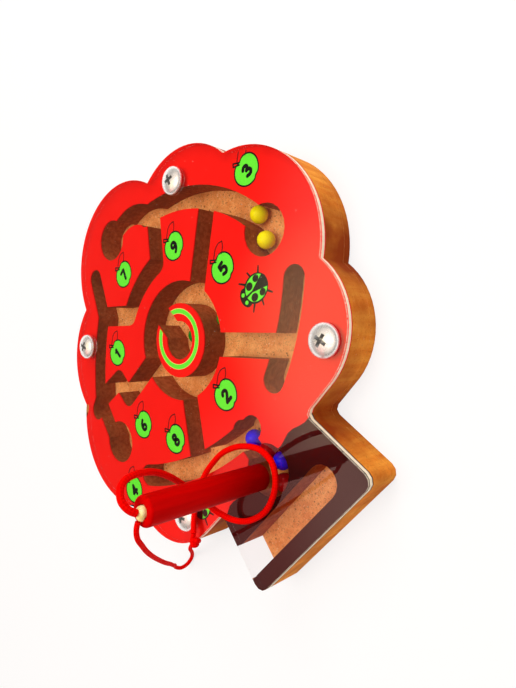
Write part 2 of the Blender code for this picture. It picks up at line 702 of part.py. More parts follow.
def make_balls():
    """The balls where they lie, each run's leader on an empty at the middle of its run."""
    height = BACK_THICKNESS + LOOSE_GAP + BALL_DIAMETER / 2
    slack = CHANNEL_WIDTH / 2 - BALL_DIAMETER / 2 - LOOSE_GAP
    pocket_reach = POCKET_RADIUS - BALL_DIAMETER / 2 - LOOSE_GAP
    moat_reach = RING_RADIUS + CHANNEL_WIDTH / 2 + slack
    right_middle = empty("right_run_middle", (*RIGHT_RUN_CENTRE, height))
    low_middle = empty("low_run_middle", (*LOW_RUN_CENTRE, height))
    moat_middle = empty("moat_middle", (0.0, 0.0, height))
    make_ball("yellow_ball_1", polar((0.0, 0.0), RIGHT_RUN_RADIUS, YELLOW_LEAD_ANGLE), right_middle)
    make_ball("yellow_ball_2", polar(RIGHT_POCKET, pocket_reach, YELLOW_TRAIL_ANGLE))
    make_ball("blue_ball_1", polar((0.0, 0.0), LOW_RUN_RADIUS + slack, BLUE_LEAD_ANGLE), low_middle)
    make_ball("red_ball_1", (RED_LEAD_LEAN * slack, RED_LEAD_Y))
    make_ball("blue_ball_2", polar(TRUNK_POCKET, BLUE_TRAIL_REACH, BLUE_TRAIL_ANGLE))
    make_ball("red_ball_2", polar(TRUNK_POCKET, pocket_reach, RED_TRAIL_ANGLE))
    make_ball("green_ball_1", polar((0.0, 0.0), GREEN_LEAD_REACH, GREEN_LEAD_ANGLE))
    make_ball("green_ball_2", polar((0.0, 0.0), moat_reach, GREEN_TRAIL_ANGLE), moat_middle)


make_board()
make_screws()
make_wand()
make_balls()
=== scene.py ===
"""Looks for the tree-shaped magnetic ball maze: finishes, prints, cord, light and camera."""

import math

import bmesh
import bpy
from mathutils import Matrix, Vector
from mathutils.bvhtree import BVHTree


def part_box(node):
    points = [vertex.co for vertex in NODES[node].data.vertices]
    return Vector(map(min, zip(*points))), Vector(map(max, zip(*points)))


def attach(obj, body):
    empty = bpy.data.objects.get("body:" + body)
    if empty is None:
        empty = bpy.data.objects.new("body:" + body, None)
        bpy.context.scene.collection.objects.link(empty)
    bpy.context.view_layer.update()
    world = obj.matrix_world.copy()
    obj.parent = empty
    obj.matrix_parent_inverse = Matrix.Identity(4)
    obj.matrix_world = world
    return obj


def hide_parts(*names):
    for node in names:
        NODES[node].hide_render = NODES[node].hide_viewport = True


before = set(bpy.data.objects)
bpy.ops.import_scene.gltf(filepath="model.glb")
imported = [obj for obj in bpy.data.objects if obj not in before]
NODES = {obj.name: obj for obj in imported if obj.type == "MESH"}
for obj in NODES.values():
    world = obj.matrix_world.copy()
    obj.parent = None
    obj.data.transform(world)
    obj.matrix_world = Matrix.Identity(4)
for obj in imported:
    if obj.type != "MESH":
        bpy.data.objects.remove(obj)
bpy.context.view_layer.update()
SCENE = bpy.context.scene

# Sizes taken from the solids
PRINT_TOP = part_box("crown_facing")[1].z
COVER_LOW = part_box("clear_cover")[0].z
WAND_LOW, WAND_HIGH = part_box("wand_stick")
WAND_AXIS = (WAND_LOW + WAND_HIGH) / 2
PLUG_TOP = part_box("cord_plug")[1].z
PLUG_RADIUS = (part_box("cord_plug")[1].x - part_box("cord_plug")[0].x) / 2
MAGNET_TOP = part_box("wand_magnet")[1].z
MAGNET_RADIUS = (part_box("wand_magnet")[1].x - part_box("wand_magnet")[0].x) / 2

# Cord, as it is laid in the part
CORD_DIAMETER = 0.0019
SHORT_CORD_DIAMETER = 0.0014
CORD_EXIT_GAP = 0.0006
CORD_STEP = 0.0006
PLUG_HALF = 0.0016
BORE_GAP = 0.0001
SHORT_EXIT_ANGLE = 217.0
LONG_ROUTE = (
    (-0.0014, -0.0567, 0.0607),
    (-0.0011, -0.0554, 0.0617),
    (-0.0007, -0.0539, 0.0622),
    (-0.0002, -0.0523, 0.0620),
    (0.0002, -0.0507, 0.0612),
    (0.0005, -0.0494, 0.0595),
    (0.0005, -0.0486, 0.0564),
    (-0.0003, -0.0481, 0.0536),
    (-0.0014, -0.0476, 0.0508),
    (-0.0029, -0.0473, 0.0478),
    (-0.0048, -0.0472, 0.0443),
    (-0.0079, -0.0475, 0.0394),
    (-0.0113, -0.0484, 0.0344),
    (-0.0150, -0.0500, 0.0292),
    (-0.0182, -0.0526, 0.0242),
    (-0.0200, -0.0562, 0.0200),
    (-0.0190, -0.0606, 0.0171),
    (-0.0143, -0.0643, 0.0163),
    (-0.0073, -0.0661, 0.0162),
    (-0.0015, -0.0650, 0.0162),
    (0.0030, -0.0623, 0.0162),
    (0.0057, -0.0577, 0.0162),
    (0.0046, -0.0521, 0.0162),
    (0.0002, -0.0473, 0.0162),
    (-0.0050, -0.0442, 0.0162),
    (-0.0113, -0.0425, 0.0162),
    (-0.0212, -0.0428, 0.0162),
    (-0.0300, -0.0462, 0.0162),
    (-0.0339, -0.0484, 0.0162),
    (-0.0366, -0.0507, 0.0164),
    (-0.0382, -0.0530, 0.0169),
)
SHORT_ROUTE = (
    (-0.0046, -0.0597, 0.0590),
    (-0.0063, -0.0605, 0.0586),
    (-0.0085, -0.0611, 0.0574),
    (-0.0121, -0.0613, 0.0546),
    (-0.0187, -0.0608, 0.0495),
    (-0.0282, -0.0596, 0.0415),
    (-0.0404, -0.0578, 0.0305),
    (-0.0511, -0.0555, 0.0209),
    (-0.0593, -0.0537, 0.0139),
    (-0.0652, -0.0519, 0.0091),
    (-0.0680, -0.0518, 0.0070),
    (-0.0687, -0.0525, 0.0045),
    (-0.0677, -0.0524, 0.0021),
    (-0.0653, -0.0517, 0.0010),
    (-0.0622, -0.0514, 0.0022),
    (-0.0549, -0.0530, 0.0078),
    (-0.0476, -0.0542, 0.0136),
    (-0.0414, -0.0552, 0.0170),
)
KNOT_PLACE = (-0.0388, -0.0557, 0.0178)

# Prints on the crown: a number on each apple, and the ladybirds
APPLES = {
    "7": (-0.0046, 0.0428),
    "1": (-0.0303, 0.0245),
    "9": (0.0224, 0.0253),
    "3": (0.0612, 0.0130),
    "5": (0.0322, 0.0003),
    "6": (-0.0380, -0.0067),
    "8": (-0.0271, -0.0227),
    "2": (0.0032, -0.0292),
    "4": (-0.0608, -0.0202),
}
LADYBIRDS = ((0.0364, -0.0154, 168.0), (-0.0319, -0.0467, 20.0))
LADYBIRD_SCALE = 1.1
APPLE_WIDTH = 0.0099
APPLE_HEIGHT = 0.0095
INK = 0.000012
PRINT_LINE = 0.00052
STEM_LINE = 0.0005
LEAF_LINE = 0.00034
LEAF_STEP = 0.0004

# The lobe whose edge cuts off the lines of one apple
SIDE_LOBE = (0.0411, -0.0027)
SIDE_LOBE_RADIUS = 0.0323
SIDE_LOBE_WAY = 40.0

# Stripe on the ring
STRIPE_CENTRE = (-0.0001, 0.0008)
STRIPE_RADII = (0.00915, 0.0107)
STRIPE_BORDER = 0.00018
STRIPE_GAP = 0.0087

# Clear cover: its eased edge, its meeting with the print, and the wand slot's mouth under its rim
COVER_EASE = 0.00045
COVER_INSET = 0.0003
SLIVER = 0.00001
LIP_HEIGHT = (0.0015, 0.0016)
RIM_FADE = 0.0002
MOUTH_LOW = -0.0768
MOUTH_HIGH = -0.0666
MOUTH_END = (-0.0202, -0.0200)

# Screws: the place and turn of each, the sizes of one, and the two ends of its recess
FOUR_SCREWS = (
    (-0.0414, 0.0397, 20.0), (0.0402, 0.0391, 65.0),
    (-0.0397, -0.0459, 40.0), (0.0438, -0.0462, 10.0),
)
SCREW_SEAT_GAP = 0.0001
SCREW_RIM = 0.0006
SCREW_EDGE = 0.0002
SCREW_SHANK = 0.00145
SCREW_POINT = 0.0025
RECESS_ENDS = ((-0.0014, 0.0011, 0.00034), (0.0006, 0.0026, 0.00068))
RECESS_REACH = 0.6
RECESS_SINK = 0.00012

# Eased edges of the wand and its magnet, the reach of the painted shade up from its foot, and the glue at its
# top
WAND_EASE = 0.0009
BORE_CHAMFER = 0.0003
TIP_CHAMFER = 0.0002
MAGNET_EASE = 0.0003
FOOT_SHADE_LENGTH = 0.030
GLUE_BULGE = 0.5
GLUE_SAG = 0.00012

# The knot: turns of a wrapped strand round the two cords, and the cut end that sticks out
KNOT_TURNS = 2.5
KNOT_HALF_LENGTH = 0.0011
KNOT_WRAP = 0.0009
WRAP_RADIUS = 0.00075
STRAND_RADIUS = 0.0008
TAIL_WAY = (0.86, -0.51, 0.1)
TAIL_START = 0.0004
TAIL_LENGTH = 0.0026

# The mark left on each ball: its edge, as a cosine from its middle, and its depth as a share
MARK_EDGE = 0.985
MARK_DEPTH = 0.012

# Inside corners of the outline, how far the painted shade spreads from them, and how near the outline an edge
# lies
INSIDE_CORNERS = ((0.0590, -0.0292), (0.0248, -0.0562), (0.0603, 0.0238), (-0.0248, -0.0562))
CORNER_SHADE_REACH = (0.001, 0.022)
EDGE_REACH = 0.0002

# Pen strokes of the numbers, in pen units from the middle of the apple
PEN = 0.00126
PEN_UNIT = 0.00088
PEN_STEP = 0.0003
NUMBER_DROP = 0.0003
STROKES = {
    "1": (((-0.8, 1.3), (0.2, 2.1)), ((0.2, 2.1), (0.2, -2.1))),
    "2": (
        ((-1.3, 1.2), (-0.7, 2.0), (0.4, 2.1), (1.2, 1.3), (0.8, 0.2), (-0.4, -1.0), (-1.3, -2.1)),
        ((-1.3, -2.1), (1.4, -2.1)),
    ),
    "3": (
        ((-1.2, 1.6), (-0.3, 2.1), (0.8, 1.8), (1.0, 0.9), (-0.2, 0.2)),
        ((-0.2, 0.2), (1.0, -0.3), (1.2, -1.4), (0.2, -2.1), (-1.3, -1.6)),
    ),
    "4": (((0.6, 2.1), (-1.5, -0.8)), ((-1.5, -0.8), (1.6, -0.8)), ((0.6, 2.1), (0.6, -2.1))),
    "5": (
        ((1.2, 2.1), (-0.9, 2.1)), ((-0.9, 2.1), (-1.1, 0.4)),
        ((-1.1, 0.4), (0.1, 0.6), (1.2, -0.1), (1.2, -1.3), (0.2, -2.1), (-1.3, -1.6)),
    ),
    "6": (
        ((0.9, 2.1), (-0.5, 1.2), (-1.2, -0.2), (-1.1, -1.4), (-0.1, -2.1),
         (1.0, -1.6), (1.1, -0.5), (0.1, 0.1), (-1.0, -0.6)),
    ),
    "7": (((-1.3, 2.1), (1.3, 2.1)), ((1.3, 2.1), (-0.3, -2.1))),
    "8": (
        ((0.0, 0.1), (0.9, 0.8), (0.8, 1.8), (0.0, 2.1), (-0.8, 1.8), (-0.9, 0.8), (0.0, 0.1),
         (1.1, -0.8), (1.0, -1.8), (0.0, -2.2), (-1.0, -1.8), (-1.1, -0.8), (0.0, 0.1)),
    ),
    "9": (
        ((-0.9, -2.1), (0.5, -1.2), (1.2, 0.2), (1.1, 1.4), (0.1, 2.1),
         (-1.0, 1.6), (-1.1, 0.5), (-0.1, -0.1), (1.0, 0.6)),
    ),
}

# Lamps: place, size and power
LAMPS = (
    ("key", (0.04, 0.06, 1.0), 0.7, 4.8),
    ("side", (0.62, 0.48, 0.50), 0.6, 3.9),
    ("fill", (0.55, -0.50, 0.60), 0.6, 1.3),
)

# Sky: two steps of strength, from and to a height of the direction, then the strengths there
SKY_COLOUR = (1.0, 0.82, 0.69)
SKY_STEPS = ((0.70, 0.82, 0.05, 0.70), (0.90, 0.97, 0.0, 1.2))

# Soft glows in the sky: heading, elevation and reach in degrees, and colour
GLOWS = ((161.0, 50.0, 16.0, (0.85, 0.22, 0.20)), (132.0, 58.0, 15.0, (0.75, 0.65, 0.25)))
GLOW_CORE = 0.25

# White background, and the height at which mirrored rays leave it for the sky
WHITE = (1.0, 1.0, 1.0)
BACKGROUND_STRENGTH = 0.95
HORIZON = (0.34, 0.46)
FLOOR_SIZE = 6.0
FLOOR_WHITE = 0.75

# Camera, as fitted to the outline, the screws and the channels
LENS = 27.35
LENS_SHIFT = (-0.0081, -0.0069)
CAMERA_PLACE = (0.09987, -0.10482, 0.13213)
CAMERA_AHEAD = (-0.4548, 0.4796, -0.7504)
CAMERA_RIGHT = (0.5159, -0.5449, -0.6610)


class Value:
    """A number carried on a shader's wire, so that sums can be written as they read."""

    def __init__(self, wiring, socket):
        self.wiring = wiring
        self.socket = socket

    def sum(self, operation, first, second):
        return self.wiring.node("ShaderNodeMath", {"operation": operation}, {0: first, 1: second})

    def __add__(self, other):
        return self.sum("ADD", self, other)

    def __radd__(self, other):
        return self.sum("ADD", other, self)

    def __sub__(self, other):
        return self.sum("SUBTRACT", self, other)

    def __rsub__(self, other):
        return self.sum("SUBTRACT", other, self)

    def __mul__(self, other):
        return self.sum("MULTIPLY", self, other)

    def __rmul__(self, other):
        return self.sum("MULTIPLY", other, self)

    def at_most(self, limit):
        return self.sum("MINIMUM", self, limit)

    def larger(self, other):
        return self.sum("MAXIMUM", self, other)

    def wave(self):
        return self.wiring.node("ShaderNodeMath", {"operation": "SINE"}, {0: self})

    def between(self, low, high, start=0.0, end=1.0):
        """The start value below low, the end value above high, and a smooth change between them."""
        return self.wiring.node(
            "ShaderNodeMapRange",
            {"interpolation_type": "SMOOTHSTEP"},
            {"Value": self, "From Min": low, "From Max": high, "To Min": start, "To Max": end},
        )


class Wiring:
    """Shader nodes that are put together one by one."""

    def __init__(self, tree):
        self.tree = tree

    def feed(self, socket, value):
        if isinstance(value, Value):
            self.tree.links.new(value.socket, socket)
        elif socket.type == "RGBA" and len(value) == 3:
            socket.default_value = (*value, 1.0)
        else:
            socket.default_value = value

    def node(self, kind, settings=None, sockets=None, out=0):
        made = self.tree.nodes.new(kind)
        for key, value in (settings or {}).items():
            setattr(made, key, value)
        for key, value in (sockets or {}).items():
            self.feed(made.inputs[key], value)
        return Value(self, made.outputs[out])

    def axes(self, vector):
        """The X, Y and Z of a vector."""
        split = self.node("ShaderNodeSeparateXYZ", None, {0: vector}).socket.node
        return [Value(self, output) for output in split.outputs]

    def rays(self):
        """Whether a ray is the camera's own, a mirrored one, or one that passed through something clear."""
        path = self.node("ShaderNodeLightPath").socket.node
        kinds = ("Camera", "Glossy", "Transmission")
        return [Value(self, path.outputs[f"Is {kind} Ray"]) for kind in kinds]

    def blend(self, share, first, second):
        """Two shaders, with a share of the second."""
        return self.node("ShaderNodeMixShader", None, {0: share, 1: first, 2: second})


class Finish(Wiring):
    """A procedural material."""

    def __init__(self, name, **plain):
        self.material = bpy.data.materials.new(name)
        self.material.use_nodes = True
        super().__init__(self.material.node_tree)
        self.shader = self.tree.nodes["Principled BSDF"]
        self.spot = None
        self.dress(**plain)

    def dress(self, **parts):
        for name, value in parts.items():
            self.feed(self.shader.inputs[name.replace("_", " ").title().replace("Ior", "IOR")], value)

    def plain(self):
        """The material's own shader, to be mixed with others."""
        return Value(self, self.shader.outputs[0])

    def show(self, shader):
        self.feed(self.tree.nodes["Material Output"].inputs["Surface"], shader)

    def place(self):
        """Object coordinates, in metres."""
        if self.spot is None:
            self.spot = self.node("ShaderNodeTexCoord", out="Object")
        return self.spot

    def stretched(self, scale, turn=(0.0, 0.0, 0.0)):
        sockets = {"Vector": self.place(), "Scale": scale, "Rotation": turn}
        return self.node("ShaderNodeMapping", None, sockets)

    def noise(self, scale, detail=3.0, roughness=0.55, vector=None):
        sockets = {"Vector": vector or self.place(), "Scale": scale, "Detail": detail, "Roughness": roughness}
        return self.node("ShaderNodeTexNoise", None, sockets)

    def specks(self, scale):
        """Distance to the nearest of many scattered points."""
        return self.node("ShaderNodeTexVoronoi", None, {"Vector": self.place(), "Scale": scale})

    def mix(self, share, first, second):
        """Two colours, with a share of the second."""
        return self.node("ShaderNodeMix", {"data_type": "RGBA"}, {0: share, 6: first, 7: second}, out=2)

    def relief(self, height, distance, strength):
        """A bump of the given height in metres."""
        sockets = {"Height": height, "Distance": distance, "Strength": strength}
        return self.node("ShaderNodeBump", None, sockets)


def fibreboard(name, pale, deep, speck):
    """Pressed fibreboard: fine fibres, soft clouds, pale flecks, and dark grit and specks."""
    finish = Finish(name, specular_ior_level=0.15)
    blotch = finish.noise(160.0, 4.0).between(0.35, 0.68)
    fibre = finish.noise(1900.0, 3.0, 0.7, finish.stretched((1.0, 0.45, 2.5), (0.0, 0.0, 0.6)))
    cloud = finish.noise(420.0, 4.0).between(0.34, 0.66)
    ground = finish.mix(blotch * 0.3 + cloud * 0.35 + fibre.between(0.3, 0.7) * 0.35, deep, pale)
    light = (1.0 - finish.specks(900.0).between(0.10, 0.30)) * finish.noise(260.0, 2.0).between(0.45, 0.60)
    grit = finish.noise(1500.0, 2.0).between(0.56, 0.72)
    ground = finish.mix(grit * 0.45, finish.mix(light * 0.8, ground, (1.0, 0.68, 0.36)), speck)
    dots = 1.0 - finish.specks(560.0).between(0.10, 0.24)
    rare = finish.noise(340.0, 1.0).between(0.42, 0.58)
    fine = (1.0 - finish.specks(1300.0).between(0.14, 0.34)) * finish.noise(210.0, 2.0).between(0.40, 0.60)
    marked = finish.mix(dots * rare * 0.8, finish.mix(fine * 0.5, ground, speck), speck)
    height = fibre * 0.7 - dots * 0.5
    finish.dress(base_color=marked, roughness=0.72 + fibre * 0.16, normal=finish.relief(height, 0.00012, 0.6))
    return finish.material


def sawn_edge(name, pale, deep, scorch_and_shade, scorch_share, streaks, layering, corners=()):
    """A cut edge of fibreboard: streaks up its height, scorched blotches, and painted shade near the given
    corners.
    """
    finish = Finish(name, specular_ior_level=0.1)
    streak = finish.noise(420.0, 4.0, vector=finish.stretched((1.0, 1.0, 0.10)))
    layer = finish.noise(900.0, 3.0, vector=finish.stretched((0.12, 0.12, 1.6)))
    blotch = finish.noise(60.0, 3.0).between(0.38, 0.66)
    cloud = finish.noise(700.0, 4.0).between(0.30, 0.70)
    ground = streak.between(0.30, 0.72) * streaks + layer * layering + cloud * (1.0 - streaks - layering)
    ground = finish.mix(ground, deep, pale)
    dust = (1.0 - finish.specks(800.0).between(0.08, 0.24)) * finish.noise(190.0, 2.0).between(0.50, 0.64)
    ground = finish.mix(dust * 0.55, ground, (0.90, 0.50, 0.24))
    scorch_and_corner_shade = blotch * scorch_share
    flat_place = finish.stretched((1.0, 1.0, 0.0))
    # Painted shade: the edge darkens towards each inside corner, where less light reaches it.
    for corner in corners:
        ends = {0: flat_place, 1: (*corner, 0.0)}
        away = finish.node("ShaderNodeVectorMath", {"operation": "DISTANCE"}, ends, out="Value")
        scorch_and_corner_shade = scorch_and_corner_shade + (1.0 - away.between(*CORNER_SHADE_REACH)) * 0.8
    dark = finish.mix(scorch_and_corner_shade, ground, scorch_and_shade)
    grain = finish.noise(2400.0, 2.0)
    marked = finish.mix(grain.between(0.58, 0.72) * 0.45, dark, scorch_and_shade)
    height = streak * streaks + grain * 0.4
    finish.dress(base_color=marked, roughness=0.74 + grain * 0.15, normal=finish.relief(height, 0.00014, 0.7))
    return finish.material


def printed_sheet(name, ink, shade):
    """Printed card: an even ink film with a faint mottle and a little grain."""
    finish = Finish(name, specular_ior_level=0.06)
    mottle = finish.noise(70.0, 4.0).between(0.3, 0.7)
    grain = finish.noise(5200.0, 2.0)
    colour = finish.mix(mottle * 0.35 + grain * 0.15, ink, shade)
    finish.dress(base_color=colour, roughness=0.42 + grain * 0.1, normal=finish.relief(grain, 0.00001, 0.4))
    return finish.material


def gloss_paint(name, paint, shade):
    """Thick gloss paint with a slight orange peel."""
    finish = Finish(name, coat_weight=0.12, coat_roughness=0.08, specular_ior_level=0.1)
    peel = finish.noise(900.0, 2.0)
    pool = finish.noise(240.0, 2.0).between(0.35, 0.65)
    finish.dress(
        base_color=finish.mix(pool * 0.5, paint, shade),
        roughness=0.2 + peel * 0.12,
        normal=finish.relief(peel, 0.00003, 0.25),
    )
    return finish.material


def lacquer():
    """Red lacquer on a turned dowel, the grain faintly showing along it, with painted shade darkening it near
    the tip.
    """
    finish = Finish("red_lacquer", specular_ior_level=0.02)
    grain = finish.noise(700.0, 3.0, vector=finish.stretched((1.0, 1.0, 0.06)))
    rings = finish.noise(420.0, 2.0, vector=finish.stretched((0.05, 0.05, 1.0)))
    colour = finish.mix(grain.between(0.35, 0.7) * 0.5, (0.60, 0.0, 0.0), (0.43, 0.0, 0.0))
    height = finish.axes(finish.place())[2]
    # Painted shade: the lacquer darkens towards the foot, where less light reaches the dowel.
    foot_shade = 1.0 - height.between(WAND_LOW.z, WAND_LOW.z + FOOT_SHADE_LENGTH)
    colour = finish.mix(foot_shade * 0.7, colour, (0.20, 0.0, 0.0))
    relief = finish.relief(grain * 0.7 + rings * 0.3, 0.00006, 0.35)
    finish.dress(base_color=colour, roughness=0.45 + grain * 0.15, normal=relief)
    return finish.material


def braided_cord():
    """Braided cotton: two sets of strands that cross on the bias, read from the cord's own UV map."""
    finish = Finish("red_cord", specular_ior_level=0.04)
    along = finish.node("ShaderNodeUVMap", {"uv_map": "braid"})
    length, round_it = finish.axes(along)[:2]
    turns = 2 * math.pi
    one = (length * (turns * 1.1) + round_it * (turns * 4)).wave()
    two = (length * (turns * 1.1) - round_it * (turns * 4)).wave()
    strand = one * two * 0.5 + 0.5
    fluff = finish.noise(5200.0, 2.0)
    colour = finish.mix(strand * 0.7 + fluff * 0.3, (0.70, 0.0, 0.0), (0.97, 0.002, 0.0))
    height = strand * 0.8 + fluff * 0.2
    finish.dress(base_color=colour, roughness=0.72 + fluff * 0.15, normal=finish.relief(height, 0.00016, 0.6))
    return finish.material


def plated_metal(name, colour, roughness, shine):
    """Bright plate with a fine grain and a few dull patches, and painted shade where the mesh marks a recess.
    """
    finish = Finish(name, metallic=shine)
    scuff = finish.noise(650.0, 4.0).between(0.4, 0.75)
    fine = finish.noise(4200.0, 2.0)
    tint = finish.mix(scuff * 0.5, colour, tuple(0.72 * part for part in colour))
    # Painted shade: faces marked as recess darken towards black, for the shadow inside the cross recess.
    recess_shade = finish.node("ShaderNodeAttribute", {"attribute_name": "recess"}, out="Fac")
    tint = finish.mix(recess_shade * 0.6, tint, (0.03, 0.028, 0.025))
    relief = finish.relief(fine, 0.00002, 0.3)
    finish.dress(base_color=tint, roughness=roughness + scuff * 0.14, normal=relief)
    return finish.material


def dried_glue():
    """A pale drop of wood glue, a little uneven."""
    finish = Finish(
        "dried_glue", coat_weight=0.3, coat_roughness=0.15,
        subsurface_weight=0.15, subsurface_radius=(0.0012, 0.0008, 0.0003), subsurface_scale=1.0,
    )
    cloud = finish.noise(420.0, 3.0).between(0.3, 0.7)
    colour = finish.mix(cloud, (0.98, 0.80, 0.22), (1.0, 0.90, 0.48))
    finish.dress(base_color=colour, roughness=0.35 + cloud * 0.15, normal=finish.relief(cloud, 0.0001, 0.4))
    return finish.material


def clear_sheet():
    """Clear acrylic, seen through, mirroring a little at its front, with a few specks of dust on it."""
    finish = Finish("clear_sheet", base_color=(0.95, 0.86, 0.76), roughness=0.8, specular_ior_level=0.0)
    through = finish.node("ShaderNodeBsdfTransparent", None, {"Color": (0.985, 0.992, 0.992)})
    gloss = finish.node("ShaderNodeBsdfGlossy", None, {"Color": WHITE, "Roughness": 0.015})
    front = 1.0 - finish.node("ShaderNodeNewGeometry", out="Backfacing")
    mirror = (finish.node("ShaderNodeFresnel", None, {"IOR": 1.45}) * 1.8).at_most(0.26) * front
    specks = (1.0 - finish.specks(430.0).between(0.03, 0.07)) * finish.noise(90.0, 2.0).between(0.50, 0.62)
    finish.show(finish.blend(specks * front * 0.6, finish.blend(mirror, through, gloss), finish.plain()))
    return finish.material


def sheet_rim(name, frost_low, frost_high, white_height, mirrors):
    """The rim of the clear sheet: frosted from outside, with a white foot and a pale lip, a mirror inside.

    Over the mouth of the wand slot the inside stays clear, so that the slot isn't seen a second time.
    """
    finish = Finish(name, specular_ior_level=0.3)
    marks = finish.noise(1300.0, 3.0, vector=finish.stretched((1.0, 1.0, 0.15)))
    finish.dress(base_color=(1.0, 0.88, 0.68), roughness=0.4 + marks * 0.2)
    across, along, up = finish.axes(finish.place())
    height = up - COVER_LOW
    foot = 1.0 - height.between(white_height, white_height + RIM_FADE)
    lip = height.between(*LIP_HEIGHT) * marks.between(0.25, 0.5)
    frost = foot * 0.9 + lip * 0.4 + frost_low + marks.between(0.4, 0.8) * frost_high
    mouth = along.between(MOUTH_LOW, MOUTH_LOW + RIM_FADE)
    mouth = mouth * (1.0 - along.between(MOUTH_HIGH, MOUTH_HIGH + RIM_FADE))
    mouth = mouth * (1.0 - across.between(*MOUTH_END))
    through = finish.node("ShaderNodeBsdfTransparent", None, {"Color": (0.97, 0.98, 0.98)})
    mirror = finish.node("ShaderNodeBsdfGlossy", None, {"Color": (0.98, 0.97, 0.96), "Roughness": 0.05})
    outside = finish.blend(frost, through, finish.plain())
    within = finish.blend((1.0 - mouth) * mirrors, through, mirror)
    finish.show(finish.blend(finish.node("ShaderNodeNewGeometry", out="Backfacing"), outside, within))
    return finish.material


FLOOR_BOARD = fibreboard("floor_board", (1.0, 0.47, 0.155), (0.74, 0.22, 0.048), (0.10, 0.024, 0.006))
# The outer edge, with painted shade towards the inside corners of the outline.
OUTER_EDGE = sawn_edge(
    "outer_edge", (1.0, 0.45, 0.058), (0.74, 0.16, 0.006), (0.30, 0.042, 0.001),
    scorch_share=0.45, streaks=0.5, layering=0.3, corners=INSIDE_CORNERS,
)
# The walls of the channels: the same cut edge in darker colours, painted shade for the narrow channels under
# the cover, with scorched blotches besides.
SHADED_CHANNEL_WALL = sawn_edge(
    "shaded_channel_wall", (0.56, 0.15, 0.045), (0.34, 0.074, 0.018), (0.16, 0.032, 0.008),
    scorch_share=0.35, streaks=0.1, layering=0.05,
)
RED_PRINT = printed_sheet("red_print", (0.93, 0.010, 0.006), (0.86, 0.006, 0.004))
BROWN_PRINT = printed_sheet("brown_print", (0.020, 0.003, 0.003), (0.014, 0.002, 0.002))
GREEN_INK = printed_sheet("green_ink", (0.150, 0.86, 0.045), (0.125, 0.78, 0.035))
CREAM_INK = printed_sheet("cream_ink", (0.93, 0.70, 0.22), (0.88, 0.62, 0.18))
BLACK_INK = printed_sheet("black_ink", (0.006, 0.006, 0.006), (0.012, 0.010, 0.010))
CLEAR = clear_sheet()
RIM_EDGE = sheet_rim("rim_edge", frost_low=0.25, frost_high=0.3, white_height=0.0, mirrors=0.0)
RIM_WALL = sheet_rim("rim_wall", frost_low=0.03, frost_high=0.12, white_height=0.0011, mirrors=1.0)
NICKEL = plated_metal("nickel", (0.98, 0.97, 0.94), roughness=0.22, shine=0.65)
MAGNET = plated_metal("magnet", (0.50, 0.50, 0.51), roughness=0.28, shine=1.0)
LACQUER = lacquer()
GLUE = dried_glue()
CORD = braided_cord()
BALL_PAINT = {
    "yellow": gloss_paint("yellow_paint", (1.0, 0.88, 0.0), (1.0, 0.79, 0.0)),
    "blue": gloss_paint("blue_paint", (0.001, 0.012, 0.95), (0.001, 0.008, 0.78)),
    "red": gloss_paint("red_paint", (0.42, 0.003, 0.004), (0.28, 0.001, 0.002)),
    "green": gloss_paint("green_paint", (0.010, 0.26, 0.012), (0.006, 0.17, 0.008)),
}


def finish_piece(name, shape, materials, body, nodes=(), crease=35.0):
    """Make a shape a named piece that rides on a body and stands for the given solids."""
    mesh = bpy.data.meshes.new(name)
    shape.to_mesh(mesh)
    shape.free()
    mesh.shade_smooth()
    mesh.set_sharp_from_angle(angle=math.radians(crease))
    for finish in materials:
        mesh.materials.append(finish)
    return settle(bpy.data.objects.new(name, mesh), body, nodes)


def settle(made, body, nodes=()):
    """Link a piece, let it ride on its body and hide the solids it stands for."""
    SCENE.collection.objects.link(made)
    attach(made, body)
    if nodes:
        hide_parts(*nodes)
    return made


def merged_copy(node):
    """A copy of a solid's mesh with its triangles joined up."""
    shape = bmesh.new()
    shape.from_mesh(NODES[node].data)
    bmesh.ops.remove_doubles(shape, verts=shape.verts, dist=1e-6)
    bmesh.ops.dissolve_limit(shape, angle_limit=math.radians(0.4), verts=shape.verts, edges=shape.edges)
    return shape


def polar(radius, degrees):
    turn = math.radians(degrees)
    return Vector((radius * math.cos(turn), radius * math.sin(turn)))


def smooth(points, step):
    """Points at about an even step on a smooth curve that passes through the given ones."""
    route = [Vector(point) for point in points]
    padded = [2 * route[0] - route[1], *route, 2 * route[-1] - route[-2]]
    curve = [route[0]]
    for before, here, there, after in zip(padded, padded[1:], padded[2:], padded[3:]):
        pieces = max(1, round((there - here).length / step))
        for i in range(1, pieces + 1):
            t = i / pieces
            curve.append(
                (2 * here + (there - before) * t
                 + (2 * before - 5 * here + 4 * there - after) * t * t
                 + (3 * here - before - 3 * there + after) * t ** 3) / 2
            )
    return curve


def turned(profile, steps=64, centre=(0.0, 0.0)):
    """A solid of revolution from radius and height, starting and ending on the axis."""
    shape = bmesh.new()
    line = [shape.verts.new((radius, 0.0, height)) for radius, height in profile]
    edges = [shape.edges.new(pair) for pair in zip(line, line[1:])]
    bmesh.ops.spin(shape, geom=line + edges, axis=(0, 0, 1), cent=(0, 0, 0), angle=2 * math.pi, steps=steps)
    bmesh.ops.remove_doubles(shape, verts=shape.verts, dist=1e-6)
    bmesh.ops.recalc_face_normals(shape, faces=shape.faces)
    bmesh.ops.translate(shape, verts=shape.verts, vec=(*centre, 0.0))
    return shape


def flat(shape, outline, low, thickness):
    """Add a thin printed patch with the given outline to a shape."""
    corners = [shape.verts.new((point[0], point[1], low)) for point in outline]
    face = shape.faces.new(corners)
    wall = bmesh.ops.extrude_face_region(shape, geom=[face])
    lifted = [item for item in wall["geom"] if isinstance(item, bmesh.types.BMVert)]
    bmesh.ops.translate(shape, verts=lifted, vec=(0, 0, thickness))


